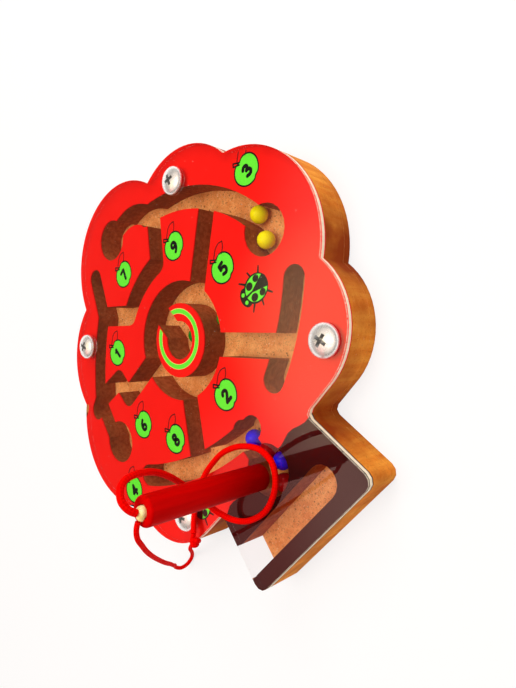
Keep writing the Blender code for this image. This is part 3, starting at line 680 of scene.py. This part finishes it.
def brush(points, width, taper=1.0):
    """The outline of an inked line with round ends, its width going from full to a share of it."""
    path = [Vector(point[:2]) for point in points]
    left = []
    for i, (before, after) in enumerate(zip([path[0], *path[:-1]], [*path[1:], path[-1]])):
        way = (after - before).normalized()
        share = 1.0 + (taper - 1.0) * i / (len(path) - 1)
        left.append(Vector((-way.y, way.x)) * (width / 2 * share))
    outline = [point + side for point, side in zip(path, left)]
    for end, side in ((path[-1], left[-1]), (path[0], -left[0])):
        first = math.degrees(math.atan2(side.y, side.x))
        outline += [end + polar(side.length, first - 180.0 * i / 6) for i in range(1, 6)]
        if end is path[-1]:
            outline += [point - side for point, side in zip(reversed(path), reversed(left))]
    return outline


def oval(centre, width, height, count=40):
    """The outline of an oval."""
    points = []
    for i in range(count):
        turn = 2 * math.pi * i / count
        spot = Vector((width / 2 * math.cos(turn), height / 2 * math.sin(turn)))
        points.append((centre[0] + spot.x, centre[1] + spot.y))
    return points


def ribbon(shape, path, width, low, thickness):
    """Add a pen line with round ends to a shape, as a strip that may cross itself."""
    strips = []
    for before, here, after in zip([path[0], *path[:-1]], path, [*path[1:], path[-1]]):
        way = (after - before).to_2d().normalized()
        side = Vector((-way.y, way.x)) * (width / 2)
        corners = [(up, edge) for up in (0.0, thickness) for edge in (side, -side)]
        strips.append([
            shape.verts.new((here.x + edge.x, here.y + edge.y, low + up)) for up, edge in corners
        ])
    for one, two in zip(strips, strips[1:]):
        for i, j in ((0, 1), (1, 3), (3, 2), (2, 0)):
            shape.faces.new((one[i], one[j], two[j], two[i]))
    for end in (strips[0], strips[-1]):
        shape.faces.new((end[0], end[1], end[3], end[2]))
    for end in (path[0], path[-1]):
        flat(shape, oval((end.x, end.y), width, width, count=20), low + thickness / 10, thickness)


def trim(made, point, way):
    """Cut off what lies past a plane."""
    shape = bmesh.new()
    shape.from_mesh(made.data)
    everything = [*shape.verts, *shape.edges, *shape.faces]
    cut = bmesh.ops.bisect_plane(shape, geom=everything, plane_co=point, plane_no=way, clear_outer=True)
    edges = [item for item in cut["geom_cut"] if isinstance(item, bmesh.types.BMEdge)]
    bmesh.ops.holes_fill(shape, edges=edges)
    shape.to_mesh(made.data)
    shape.free()


def repeat_tree():
    """Geometry nodes that set a pattern down at each point, turned by the point's own angle."""
    tree = bpy.data.node_groups.new("pattern at places", "GeometryNodeTree")
    face = tree.interface
    face.new_socket("Places", in_out="INPUT", socket_type="NodeSocketGeometry")
    pattern = face.new_socket("Pattern", in_out="INPUT", socket_type="NodeSocketObject")
    finish = face.new_socket("Finish", in_out="INPUT", socket_type="NodeSocketMaterial")
    face.new_socket("Geometry", in_out="OUTPUT", socket_type="NodeSocketGeometry")
    start = tree.nodes.new("NodeGroupInput")
    end = tree.nodes.new("NodeGroupOutput")
    source = tree.nodes.new("GeometryNodeObjectInfo")
    angle = tree.nodes.new("GeometryNodeInputNamedAttribute")
    angle.inputs["Name"].default_value = "turn"
    spin = tree.nodes.new("ShaderNodeCombineXYZ")
    put = tree.nodes.new("GeometryNodeInstanceOnPoints")
    real = tree.nodes.new("GeometryNodeRealizeInstances")
    paint = tree.nodes.new("GeometryNodeSetMaterial")
    link = tree.links.new
    link(start.outputs["Places"], put.inputs["Points"])
    link(start.outputs["Pattern"], source.inputs["Object"])
    link(source.outputs["Geometry"], put.inputs["Instance"])
    link(angle.outputs["Attribute"], spin.inputs["Z"])
    link(spin.outputs["Vector"], put.inputs["Rotation"])
    link(put.outputs["Instances"], real.inputs["Geometry"])
    link(real.outputs["Geometry"], paint.inputs["Geometry"])
    link(start.outputs["Finish"], paint.inputs["Material"])
    link(paint.outputs["Geometry"], end.inputs["Geometry"])
    return tree, pattern.identifier, finish.identifier


REPEAT, PATTERN_INPUT, FINISH_INPUT = repeat_tree()


def repeated(name, shape, places, finish, body, nodes=()):
    """One piece from a shape set down at several places, each with a turn in degrees."""
    bmesh.ops.recalc_face_normals(shape, faces=shape.faces)
    mesh = bpy.data.meshes.new(name + "_pattern")
    shape.to_mesh(mesh)
    shape.free()
    pattern = bpy.data.objects.new(name + "_pattern", mesh)
    points = bpy.data.meshes.new(name + "_places")
    points.from_pydata([place[:3] for place in places], [], [])
    turn = points.attributes.new("turn", "FLOAT", "POINT")
    for spot, place in zip(turn.data, places):
        spot.value = math.radians(place[3])
    holder = bpy.data.objects.new(name + "_places", points)
    for made in (pattern, holder):
        SCENE.collection.objects.link(made)
    modifier = holder.modifiers.new("places", "NODES")
    modifier.node_group = REPEAT
    modifier[PATTERN_INPUT] = pattern
    modifier[FINISH_INPUT] = finish
    bpy.context.view_layer.update()
    done = bpy.data.meshes.new_from_object(holder.evaluated_get(bpy.context.evaluated_depsgraph_get()))
    done.name = name
    for made in (holder, pattern):
        bpy.data.objects.remove(made)
    done.shade_smooth()
    done.set_sharp_from_angle(angle=math.radians(35))
    return settle(bpy.data.objects.new(name, done), body, nodes)


def tube(path, radius, sides=14):
    """A closed tube round a path, with a UV map that counts diameters along it and turns round it."""
    shape = bmesh.new()
    braid = shape.loops.layers.uv.new("braid")
    neighbours = zip([path[0], *path[:-1]], [*path[1:], path[-1]])
    ways = [(after - before).normalized() for before, after in neighbours]
    side = ways[0].orthogonal().normalized()
    rings, lengths, run = [], [], 0.0
    for i, (point, way) in enumerate(zip(path, ways)):
        if i:
            run += (point - path[i - 1]).length
            side = (side - way * side.dot(way)).normalized()
        up = way.cross(side)
        ring = []
        for j in range(sides):
            turn = 2 * math.pi * j / sides
            ring.append(shape.verts.new(point + (side * math.cos(turn) + up * math.sin(turn)) * radius))
        rings.append(ring)
        lengths.append(run / (2 * radius))
    for i in range(len(rings) - 1):
        for j in range(sides):
            k = (j + 1) % sides
            face = shape.faces.new((rings[i][j], rings[i][k], rings[i + 1][k], rings[i + 1][j]))
            spots = ((i, j), (i, j + 1), (i + 1, j + 1), (i + 1, j))
            for loop, (ring, turn) in zip(face.loops, spots):
                loop[braid].uv = (lengths[ring], turn / sides)
    shape.faces.new(list(reversed(rings[0])))
    shape.faces.new(rings[-1])
    bmesh.ops.recalc_face_normals(shape, faces=shape.faces)
    return shape


def dress_board():
    """The fibreboard layers, with their outer edges paler than the channel walls, which carry scorched
    blotches on a darker base of painted shade.
    """
    panel = merged_copy("back_panel")
    outline = BVHTree.FromBMesh(panel)
    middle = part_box("back_panel")[1].z / 2
    for face in panel.faces:
        face.material_index = 0 if abs(face.normal.z) > 0.5 else 1
    finish_piece("panel", panel, (FLOOR_BOARD, OUTER_EDGE), "board", ["back_panel"])
    for part in ("frame", "island", "ring"):
        core = merged_copy(f"maze_{part}")
        for face in core.faces:
            spot = face.calc_center_median()
            reach = outline.find_nearest((spot.x, spot.y, middle))[3]
            outside = abs(face.normal.z) < 0.5 and reach < EDGE_REACH
            face.material_index = 1 if outside else 0
        walls = (SHADED_CHANNEL_WALL, OUTER_EDGE)
        finish_piece(f"{part}_core", core, walls, "board", [f"maze_{part}"])
    for node, paint in (
        ("crown_facing", RED_PRINT), ("trunk_facing", BROWN_PRINT),
        ("island_facing", RED_PRINT), ("ring_facing", RED_PRINT),
    ):
        NODES[node].data.materials.clear()
        NODES[node].data.materials.append(paint)


def dress_cover():
    """The clear sheet: its upper edges eased, and its rim brought down on to the print."""
    cover = merged_copy("clear_cover")
    for face in cover.faces:
        face.material_index = 0 if abs(face.normal.z) > 0.5 else 2
    under = [face for face in cover.faces if face.normal.z < -0.5]
    bmesh.ops.inset_region(
        cover, faces=under, thickness=COVER_INSET, use_boundary=True, use_even_offset=True,
    )
    for vert in cover.verts:
        on_rim = any(face.material_index == 2 for face in vert.link_faces)
        if on_rim and vert.co.z < COVER_LOW + SLIVER:
            vert.co.z = PRINT_TOP + SLIVER
    middle = sum(corner.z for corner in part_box("clear_cover")) / 2
    rim = [
        edge for edge in cover.edges
        if len({face.material_index for face in edge.link_faces}) == 2 and edge.verts[0].co.z > middle
    ]
    bmesh.ops.bevel(
        cover, geom=rim, offset=COVER_EASE, offset_type="OFFSET", segments=2, profile=0.5,
        affect="EDGES", clamp_overlap=True, material=1,
    )
    sheet = (CLEAR, RIM_EDGE, RIM_WALL)
    finish_piece("cover_sheet", cover, sheet, "board", ["clear_cover"], crease=12.0)


def apple_outline(grow):
    """A plain apple seen from the front: a dip at the stem and a notch below."""
    points = []
    for i in range(96):
        turn = 2 * math.pi * i / 96
        dip = 0.15 * math.exp(-((turn if turn < math.pi else turn - 2 * math.pi) / 0.30) ** 2)
        foot = 0.10 * math.exp(-((turn - math.pi + 0.26) / 0.20) ** 2)
        reach = 1.0 - dip - foot + 0.05 * math.sin(turn) ** 2
        across = math.sin(turn) * (APPLE_WIDTH / 2 * reach / 1.05 + grow)
        up = math.cos(turn) * (APPLE_HEIGHT / 2 * reach + grow)
        points.append((across * (1.0 + 0.06 * math.cos(turn)), up))
    return points


def print_apples():
    """Green apples with a black outline, an open stem, an open leaf and a number."""
    low = PRINT_TOP + INK
    places = [(x, y, low, 0.0) for x, y in APPLES.values()]
    lines = bmesh.new()
    flat(lines, apple_outline(PRINT_LINE), 0.0, INK)
    stem = ((0.0001, 0.0041), (-0.0018, 0.0064), (-0.0026, 0.0056), (-0.0005, 0.0037))
    for number, (here, there) in enumerate(zip(stem, stem[1:])):
        line = [Vector((*here, 0.0)), Vector((*there, 0.0))]
        flat(lines, brush(line, STEM_LINE), (1.0 + 0.1 * number) * INK, INK)
    leaf = ((-0.0007, 0.0051, 0.0), (0.0006, 0.0060, 0.0), (0.0024, 0.0070, 0.0), (0.0044, 0.0072, 0.0),
            (0.0062, 0.0064, 0.0))
    under = ((0.0062, 0.0064, 0.0), (0.0054, 0.0052, 0.0), (0.0043, 0.0043, 0.0), (0.0031, 0.0037, 0.0))
    for number, edge in enumerate((leaf, under)):
        flat(lines, brush(smooth(edge, LEAF_STEP), LEAF_LINE), (1.4 + 0.1 * number) * INK, INK)
    drawn = repeated("apple_lines", lines, places, BLACK_INK, "board")
    lobe, way = Vector(SIDE_LOBE).to_3d(), polar(1.0, SIDE_LOBE_WAY).to_3d()
    trim(drawn, lobe + way * (SIDE_LOBE_RADIUS - PRINT_LINE), way)
    bodies = bmesh.new()
    flat(bodies, apple_outline(0.0), INK, INK)
    repeated("apple_bodies", bodies, places, GREEN_INK, "board")

    numbers = bmesh.new()
    for digit, (x, y) in APPLES.items():
        for number, stroke in enumerate(STROKES[digit]):
            points = [
                Vector((x + along * PEN_UNIT, y - NUMBER_DROP + up * PEN_UNIT, 0.0)) for along, up in stroke
            ]
            ribbon(numbers, smooth(points, PEN_STEP), PEN, low + (2.0 + 0.2 * number) * INK, INK)
    bmesh.ops.recalc_face_normals(numbers, faces=numbers.faces)
    finish_piece("apple_numbers", numbers, (BLACK_INK,), "board")


def print_ladybirds():
    """Green ladybirds of a plain design, head along +X before they are turned."""
    low = PRINT_TOP + INK
    places = [(x, y, low, turn) for x, y, turn in LADYBIRDS]
    dark = bmesh.new()
    flat(dark, oval((-0.0004, 0.0), 0.0096, 0.0084), 0.0, INK)
    flat(dark, oval((0.0040, 0.0), 0.0044, 0.0060), 0.5 * INK, INK)
    for side in (1, -1):
        for root, foot in (((0.0024, 0.0034), (0.0040, 0.0050)), ((-0.0006, 0.0038), (-0.0002, 0.0056)),
                           ((-0.0034, 0.0030), (-0.0046, 0.0046))):
            leg = [Vector((x, side * y, 0.0)) for x, y in (root, foot)]
            flat(dark, brush(leg, 0.0007, 0.7), (0.25 + 0.05 * side) * INK, INK)
    wings = bmesh.new()
    middle, seam_start, seam_half = -0.0006, 0.0012, 0.00026
    for side in (1, -1):
        wing = []
        for x, y in oval((middle, 0.0), 0.0086, 0.0074, count=64):
            seam = seam_half + 0.0015 * max(0.0, (seam_start - x) / 0.0055)
            if side * y > seam:
                wing.append((x, y))
        wing.sort(key=lambda point: math.atan2(side * point[1], point[0] - middle))
        wing.append((seam_start, side * seam_half))
        flat(wings, wing, INK, INK)
        flat(wings, oval((0.0046, side * 0.0013), 0.0013, 0.0012), 2 * INK, INK)
    spots = bmesh.new()
    for side in (1, -1):
        for x, y, size in ((0.0013, 0.0019, 0.0026), (-0.0019, 0.0024, 0.0023)):
            flat(spots, oval((x, side * y), size, size * 0.9), 2 * INK, INK)
    for name, shape, ink in (
        ("ladybird_lines", dark, BLACK_INK), ("ladybird_wings", wings, GREEN_INK),
        ("ladybird_spots", spots, BLACK_INK),
    ):
        bmesh.ops.scale(shape, vec=(LADYBIRD_SCALE, LADYBIRD_SCALE, 1.0), verts=shape.verts)
        repeated(name, shape, places, ink, "board")


def print_ring():
    """The green stripe round the ring, with its fine cream borders."""
    middle = Vector(STRIPE_CENTRE)
    for name, reach, low, paint in (
        ("ring_border", STRIPE_BORDER, PRINT_TOP + INK, CREAM_INK),
        ("ring_stripe", 0.0, PRINT_TOP + 2 * INK, GREEN_INK),
    ):
        inner, outer = STRIPE_RADII[0] - reach, STRIPE_RADII[1] + reach
        outline = []
        for radius, back in ((outer, False), (inner, True)):
            cut = math.degrees(math.asin(STRIPE_GAP / 2 / radius))
            sweep = [90.0 - cut - (360.0 - 2 * cut) * i / 96 for i in range(97)]
            outline += [middle + polar(radius, angle) for angle in (reversed(sweep) if back else sweep)]
        stripe = bmesh.new()
        flat(stripe, outline, low, INK)
        bmesh.ops.recalc_face_normals(stripe, faces=stripe.faces)
        finish_piece(name, stripe, (paint,), "board")


def dress_screws():
    """Dome-head screws with a tapered cross recess, set down where the solids are."""
    low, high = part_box("cover_screw_1")
    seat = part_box("clear_cover")[1].z + SCREW_SEAT_GAP
    radius, crown = (high.x - low.x) / 2, high.z - seat
    profile = [(0.0, crown)]
    for i in range(1, 13):
        turn = math.pi / 2 * i / 12
        profile.append((radius * math.sin(turn), SCREW_RIM + (crown - SCREW_RIM) * math.cos(turn)))
    profile += [(radius, SCREW_EDGE), (radius - SCREW_EDGE, 0.0), (SCREW_SHANK, 0.0)]
    profile += [(SCREW_SHANK, low.z - seat + SCREW_POINT), (0.0, low.z - seat)]
    head = turned(profile)
    blank = bpy.data.meshes.new("screw_blank")
    head.to_mesh(blank)
    head.free()
    screw = bpy.data.objects.new("screw_blank", blank)
    SCENE.collection.objects.link(screw)
    cutters = []
    for quarter in (0, 1):
        wedge = bmesh.new()
        rings = []
        for lift, long, wide in RECESS_ENDS:
            corners = ((long, wide), (-long, wide), (-long, -wide), (long, -wide))
            if quarter:
                corners = [(y, -x) for x, y in corners]
            rings.append([wedge.verts.new((x, y, crown + lift)) for x, y in corners])
        for i in range(4):
            wedge.faces.new((rings[0][i], rings[0][i - 1], rings[1][i - 1], rings[1][i]))
        wedge.faces.new(rings[0])
        wedge.faces.new(rings[1])
        bmesh.ops.recalc_face_normals(wedge, faces=wedge.faces)
        mesh = bpy.data.meshes.new("recess")
        wedge.to_mesh(mesh)
        wedge.free()
        cutter = bpy.data.objects.new("recess", mesh)
        SCENE.collection.objects.link(cutter)
        cutters.append(cutter)
        cut = screw.modifiers.new("recess", "BOOLEAN")
        cut.operation = "DIFFERENCE"
        cut.solver = "EXACT"
        cut.object = cutter
    bpy.context.view_layer.update()
    cut_mesh = bpy.data.meshes.new_from_object(screw.evaluated_get(bpy.context.evaluated_depsgraph_get()))
    for made in (screw, *cutters):
        bpy.data.objects.remove(made)
    pattern = bmesh.new()
    pattern.from_mesh(cut_mesh)
    # Faces sunk in the cross recess, marked for the painted shade in the nickel.
    recess = pattern.faces.layers.float.new("recess")
    for face in pattern.faces:
        spot = face.calc_center_median()
        out = min(math.hypot(spot.x, spot.y) / radius, 1.0)
        dome = SCREW_RIM + (crown - SCREW_RIM) * math.sqrt(1.0 - out * out)
        sunk = out < RECESS_REACH and 0.0 < spot.z < dome - RECESS_SINK
        face[recess] = 1.0 if sunk else 0.0
    places = [(x, y, seat, turn) for x, y, turn in FOUR_SCREWS]
    names = [f"cover_screw_{number}" for number in range(1, 5)]
    repeated("screws", pattern, places, NICKEL, "board", names)


def dress_wand():
    """The lacquered dowel with eased ends, the magnet in its tip and the glue in its top."""
    foot, top = WAND_LOW.z, WAND_HIGH.z
    radius = (WAND_HIGH.x - WAND_LOW.x) / 2
    centre = (WAND_AXIS.x, WAND_AXIS.y)
    bore, plug_foot = PLUG_RADIUS + BORE_GAP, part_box("cord_plug")[0].z - BORE_GAP
    profile = [(0.0, plug_foot), (bore, plug_foot), (bore, top - BORE_CHAMFER), (bore + BORE_CHAMFER, top)]
    quarter = [math.pi / 2 * i / 6 for i in range(7)]
    profile += [
        (radius - WAND_EASE * (1 - math.sin(turn)), top - WAND_EASE * (1 - math.cos(turn)))
        for turn in quarter
    ]
    profile += [
        (radius - WAND_EASE * (1 - math.cos(turn)), foot + WAND_EASE * (1 - math.sin(turn)))
        for turn in quarter
    ]
    tip, tip_end = MAGNET_RADIUS + BORE_GAP, MAGNET_TOP + BORE_GAP
    profile += [(tip + TIP_CHAMFER, foot), (tip, foot + TIP_CHAMFER), (tip, tip_end), (0.0, tip_end)]
    finish_piece("wand_dowel", turned(profile, 72, centre), (LACQUER,), "wand", ["wand_stick"])

    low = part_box("wand_magnet")[0].z
    inner = MAGNET_RADIUS - MAGNET_EASE
    profile = [(0.0, MAGNET_TOP), (inner, MAGNET_TOP), (MAGNET_RADIUS, MAGNET_TOP - MAGNET_EASE)]
    profile += [(MAGNET_RADIUS, low + MAGNET_EASE), (inner, low), (0.0, low)]
    finish_piece("tip_magnet", turned(profile, 48, centre), (MAGNET,), "wand", ["wand_magnet"])

    crown = PLUG_TOP + CORD_EXIT_GAP
    rise = crown - top
    profile = [(0.0, crown)]
    for i in range(1, 11):
        turn = math.pi / 2 * i / 10
        profile.append((PLUG_RADIUS * math.sin(turn) ** 0.8, top + rise * math.cos(turn)))
    profile += [(PLUG_RADIUS, plug_foot + BORE_GAP), (0.0, plug_foot + BORE_GAP)]
    drop = turned(profile, 40, centre)
    lobe = polar(1.0, SHORT_EXIT_ANGLE)
    for vertex in drop.verts:
        if vertex.co.z > top:
            out = Vector((vertex.co.x - centre[0], vertex.co.y - centre[1]))
            spin = math.atan2(out.y, out.x)
            toward = max(0.0, out.normalized().dot(lobe)) ** 4 if out.length > 0 else 0.0
            vertex.co.x += out.x * GLUE_BULGE * toward
            vertex.co.y += out.y * GLUE_BULGE * toward
            vertex.co.z -= GLUE_SAG * (1 + math.sin(3 * spin + 0.7)) * (crown - vertex.co.z) / rise
    finish_piece("glue_drop", drop, (GLUE,), "wand", ["cord_plug"])


def lay_cords():
    """Both stretches of the wand's cord, and the wrapped knot that ties them."""
    axis = Vector((WAND_AXIS.x, WAND_AXIS.y, 0.0))
    way = polar(1.0, SHORT_EXIT_ANGLE).to_3d()
    long_exit = axis + Vector((0.0, 0.0, PLUG_TOP + CORD_EXIT_GAP))
    short_exit = axis + Vector((0.0, 0.0, PLUG_TOP + BORE_GAP)) + way * (PLUG_HALF + CORD_EXIT_GAP)
    knot_spot = Vector(KNOT_PLACE)
    ends = {"long": Vector(LONG_ROUTE[-1]), "short": Vector(SHORT_ROUTE[-1])}

    lean = (ends["long"] - ends["short"]).normalized()
    side = lean.orthogonal().normalized()
    up = lean.cross(side)
    helix = []
    for i in range(61):
        share = i / 60
        turn = 2 * math.pi * KNOT_TURNS * share
        reach = KNOT_WRAP * min(1.0, 0.35 + 6 * min(share, 1 - share))
        round_it = (side * math.cos(turn) + up * math.sin(turn)) * reach
        helix.append(knot_spot + lean * (KNOT_HALF_LENGTH * (2 * share - 1)) + round_it)
    knot = tube(helix, WRAP_RADIUS, 12)
    core = [ends["long"].lerp(ends["short"], i / 12) for i in range(13)]
    stub = Vector(TAIL_WAY).normalized()
    tail = [knot_spot + lean * TAIL_START + stub * (TAIL_LENGTH * i / 6) for i in range(7)]
    for path in (core, tail):
        part = bpy.data.meshes.new("strand")
        strand = tube(path, STRAND_RADIUS, 12)
        strand.to_mesh(part)
        strand.free()
        knot.from_mesh(part)
    tied = finish_piece("tied_knot", knot, (CORD,), "wand", ["cord_knot"], 60.0)

    for name, node, diameter, exit_point, route, near in (
        ("long_cord", "cord_long", CORD_DIAMETER, long_exit, LONG_ROUTE, [tied]),
        ("short_cord", "cord_short", SHORT_CORD_DIAMETER, short_exit, SHORT_ROUTE, []),
    ):
        path = smooth((exit_point, *route), CORD_STEP)
        length = sum((there - here).length for here, there in zip(path, path[1:]))
        made = finish_piece(name, tube(path, diameter / 2), (CORD,), "wand", [node], 60.0)


def dress_balls():
    """The painted steel balls, each with the small flattened mark that its drying rack leaves."""
    for colour, paint in BALL_PAINT.items():
        for number, body in enumerate((f"{colour}_lead", f"{colour}_trail"), start=1):
            node = f"{colour}_ball_{number}"
            low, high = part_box(node)
            shape = bmesh.new()
            bmesh.ops.create_icosphere(shape, subdivisions=5, radius=(high.z - low.z) / 2)
            mark = Vector((0.45, 0.2 * number, 0.85)).normalized()
            for vertex in shape.verts:
                near = vertex.co.normalized().dot(mark)
                if near > MARK_EDGE:
                    vertex.co *= 1.0 - MARK_DEPTH * (near - MARK_EDGE) / (1.0 - MARK_EDGE)
            bmesh.ops.translate(shape, verts=shape.verts, vec=(low + high) / 2)
            name = f"{colour}_painted_{number}"
            finish_piece(name, shape, (paint,), body, [node], 60.0)


def lay_floor():
    """A white floor that takes the object's shadow and stays white where it is only seen."""
    finish = Finish("white_floor", base_color=(0.90, 0.90, 0.90), roughness=0.9, specular_ior_level=0.0)
    camera, mirrored, through = finish.rays()
    seen = camera.larger(mirrored).larger(through)
    glow = finish.node("ShaderNodeEmission", None, {"Color": WHITE, "Strength": 1.0})
    finish.show(finish.blend(seen * FLOOR_WHITE, finish.plain(), glow))
    shape = bmesh.new()
    bmesh.ops.create_grid(shape, x_segments=2, y_segments=2, size=FLOOR_SIZE)
    mesh = bpy.data.meshes.new("floor")
    shape.to_mesh(mesh)
    shape.free()
    mesh.materials.append(finish.material)
    floor = bpy.data.objects.new("floor", mesh)
    SCENE.collection.objects.link(floor)


def light_sky():
    """A dim warm sky, brighter overhead, with soft glows; white where it is the background."""
    world = bpy.data.worlds.new("studio")
    SCENE.world = world
    world.use_nodes = True
    world.node_tree.nodes.clear()
    studio = Wiring(world.node_tree)
    way = studio.node("ShaderNodeTexCoord", out="Generated")
    height = studio.axes(way)[2]
    strength = height.between(*SKY_STEPS[0]) + height.between(*SKY_STEPS[1])
    sky = studio.node("ShaderNodeBackground", None, {"Color": SKY_COLOUR, "Strength": strength})
    for heading, elevation, reach, colour in GLOWS:
        level = polar(math.cos(math.radians(elevation)), heading)
        ends = {0: way, 1: (level.x, level.y, math.sin(math.radians(elevation)))}
        facing = studio.node("ShaderNodeVectorMath", {"operation": "DOT_PRODUCT"}, ends, out="Value")
        fade = facing.between(math.cos(math.radians(reach)), math.cos(math.radians(reach * GLOW_CORE)))
        glow = studio.node("ShaderNodeBackground", None, {"Color": colour, "Strength": fade})
        sky = studio.node("ShaderNodeAddShader", None, {0: sky, 1: glow})
    camera, mirrored, through = studio.rays()
    low_shine = mirrored.larger(through) * height.between(*HORIZON, 1.0, 0.0)
    pale = studio.node("ShaderNodeBackground", None, {"Color": WHITE, "Strength": BACKGROUND_STRENGTH})
    out = studio.tree.nodes.new("ShaderNodeOutputWorld")
    studio.feed(out.inputs["Surface"], studio.blend(camera.larger(low_shine), sky, pale))


def hang_lamps():
    """Soft lamps from above and from the camera's side, kept out of the cover's mirror."""
    for name, place, size, power in LAMPS:
        lamp = bpy.data.lights.new(name, "AREA")
        lamp.shape = "DISK"
        lamp.size = size
        lamp.energy = power
        made = bpy.data.objects.new(name, lamp)
        made.location = place
        made.visible_glossy = False
        made.rotation_euler = (-Vector(place)).to_track_quat("-Z", "Y").to_euler()
        SCENE.collection.objects.link(made)


def set_camera():
    """The camera, from the way it looks and the way to its right."""
    lens = bpy.data.cameras.new("camera")
    lens.sensor_width = 36.0
    lens.lens = LENS
    lens.shift_x, lens.shift_y = LENS_SHIFT
    lens.clip_start = 0.005
    lens.clip_end = 50.0
    camera = bpy.data.objects.new("camera", lens)
    ahead = Vector(CAMERA_AHEAD).normalized()
    right = Vector(CAMERA_RIGHT)
    right = (right - ahead * right.dot(ahead)).normalized()
    turn = Matrix((right, right.cross(ahead), -ahead)).transposed().to_4x4()
    camera.matrix_world = Matrix.Translation(CAMERA_PLACE) @ turn
    SCENE.collection.objects.link(camera)
    SCENE.camera = camera
    SCENE.view_settings.view_transform = "Standard"


lay_floor()
light_sky()
hang_lamps()
set_camera()
lay_cords()
dress_board()
dress_cover()
print_apples()
print_ladybirds()
print_ring()
dress_screws()
dress_wand()
dress_balls()
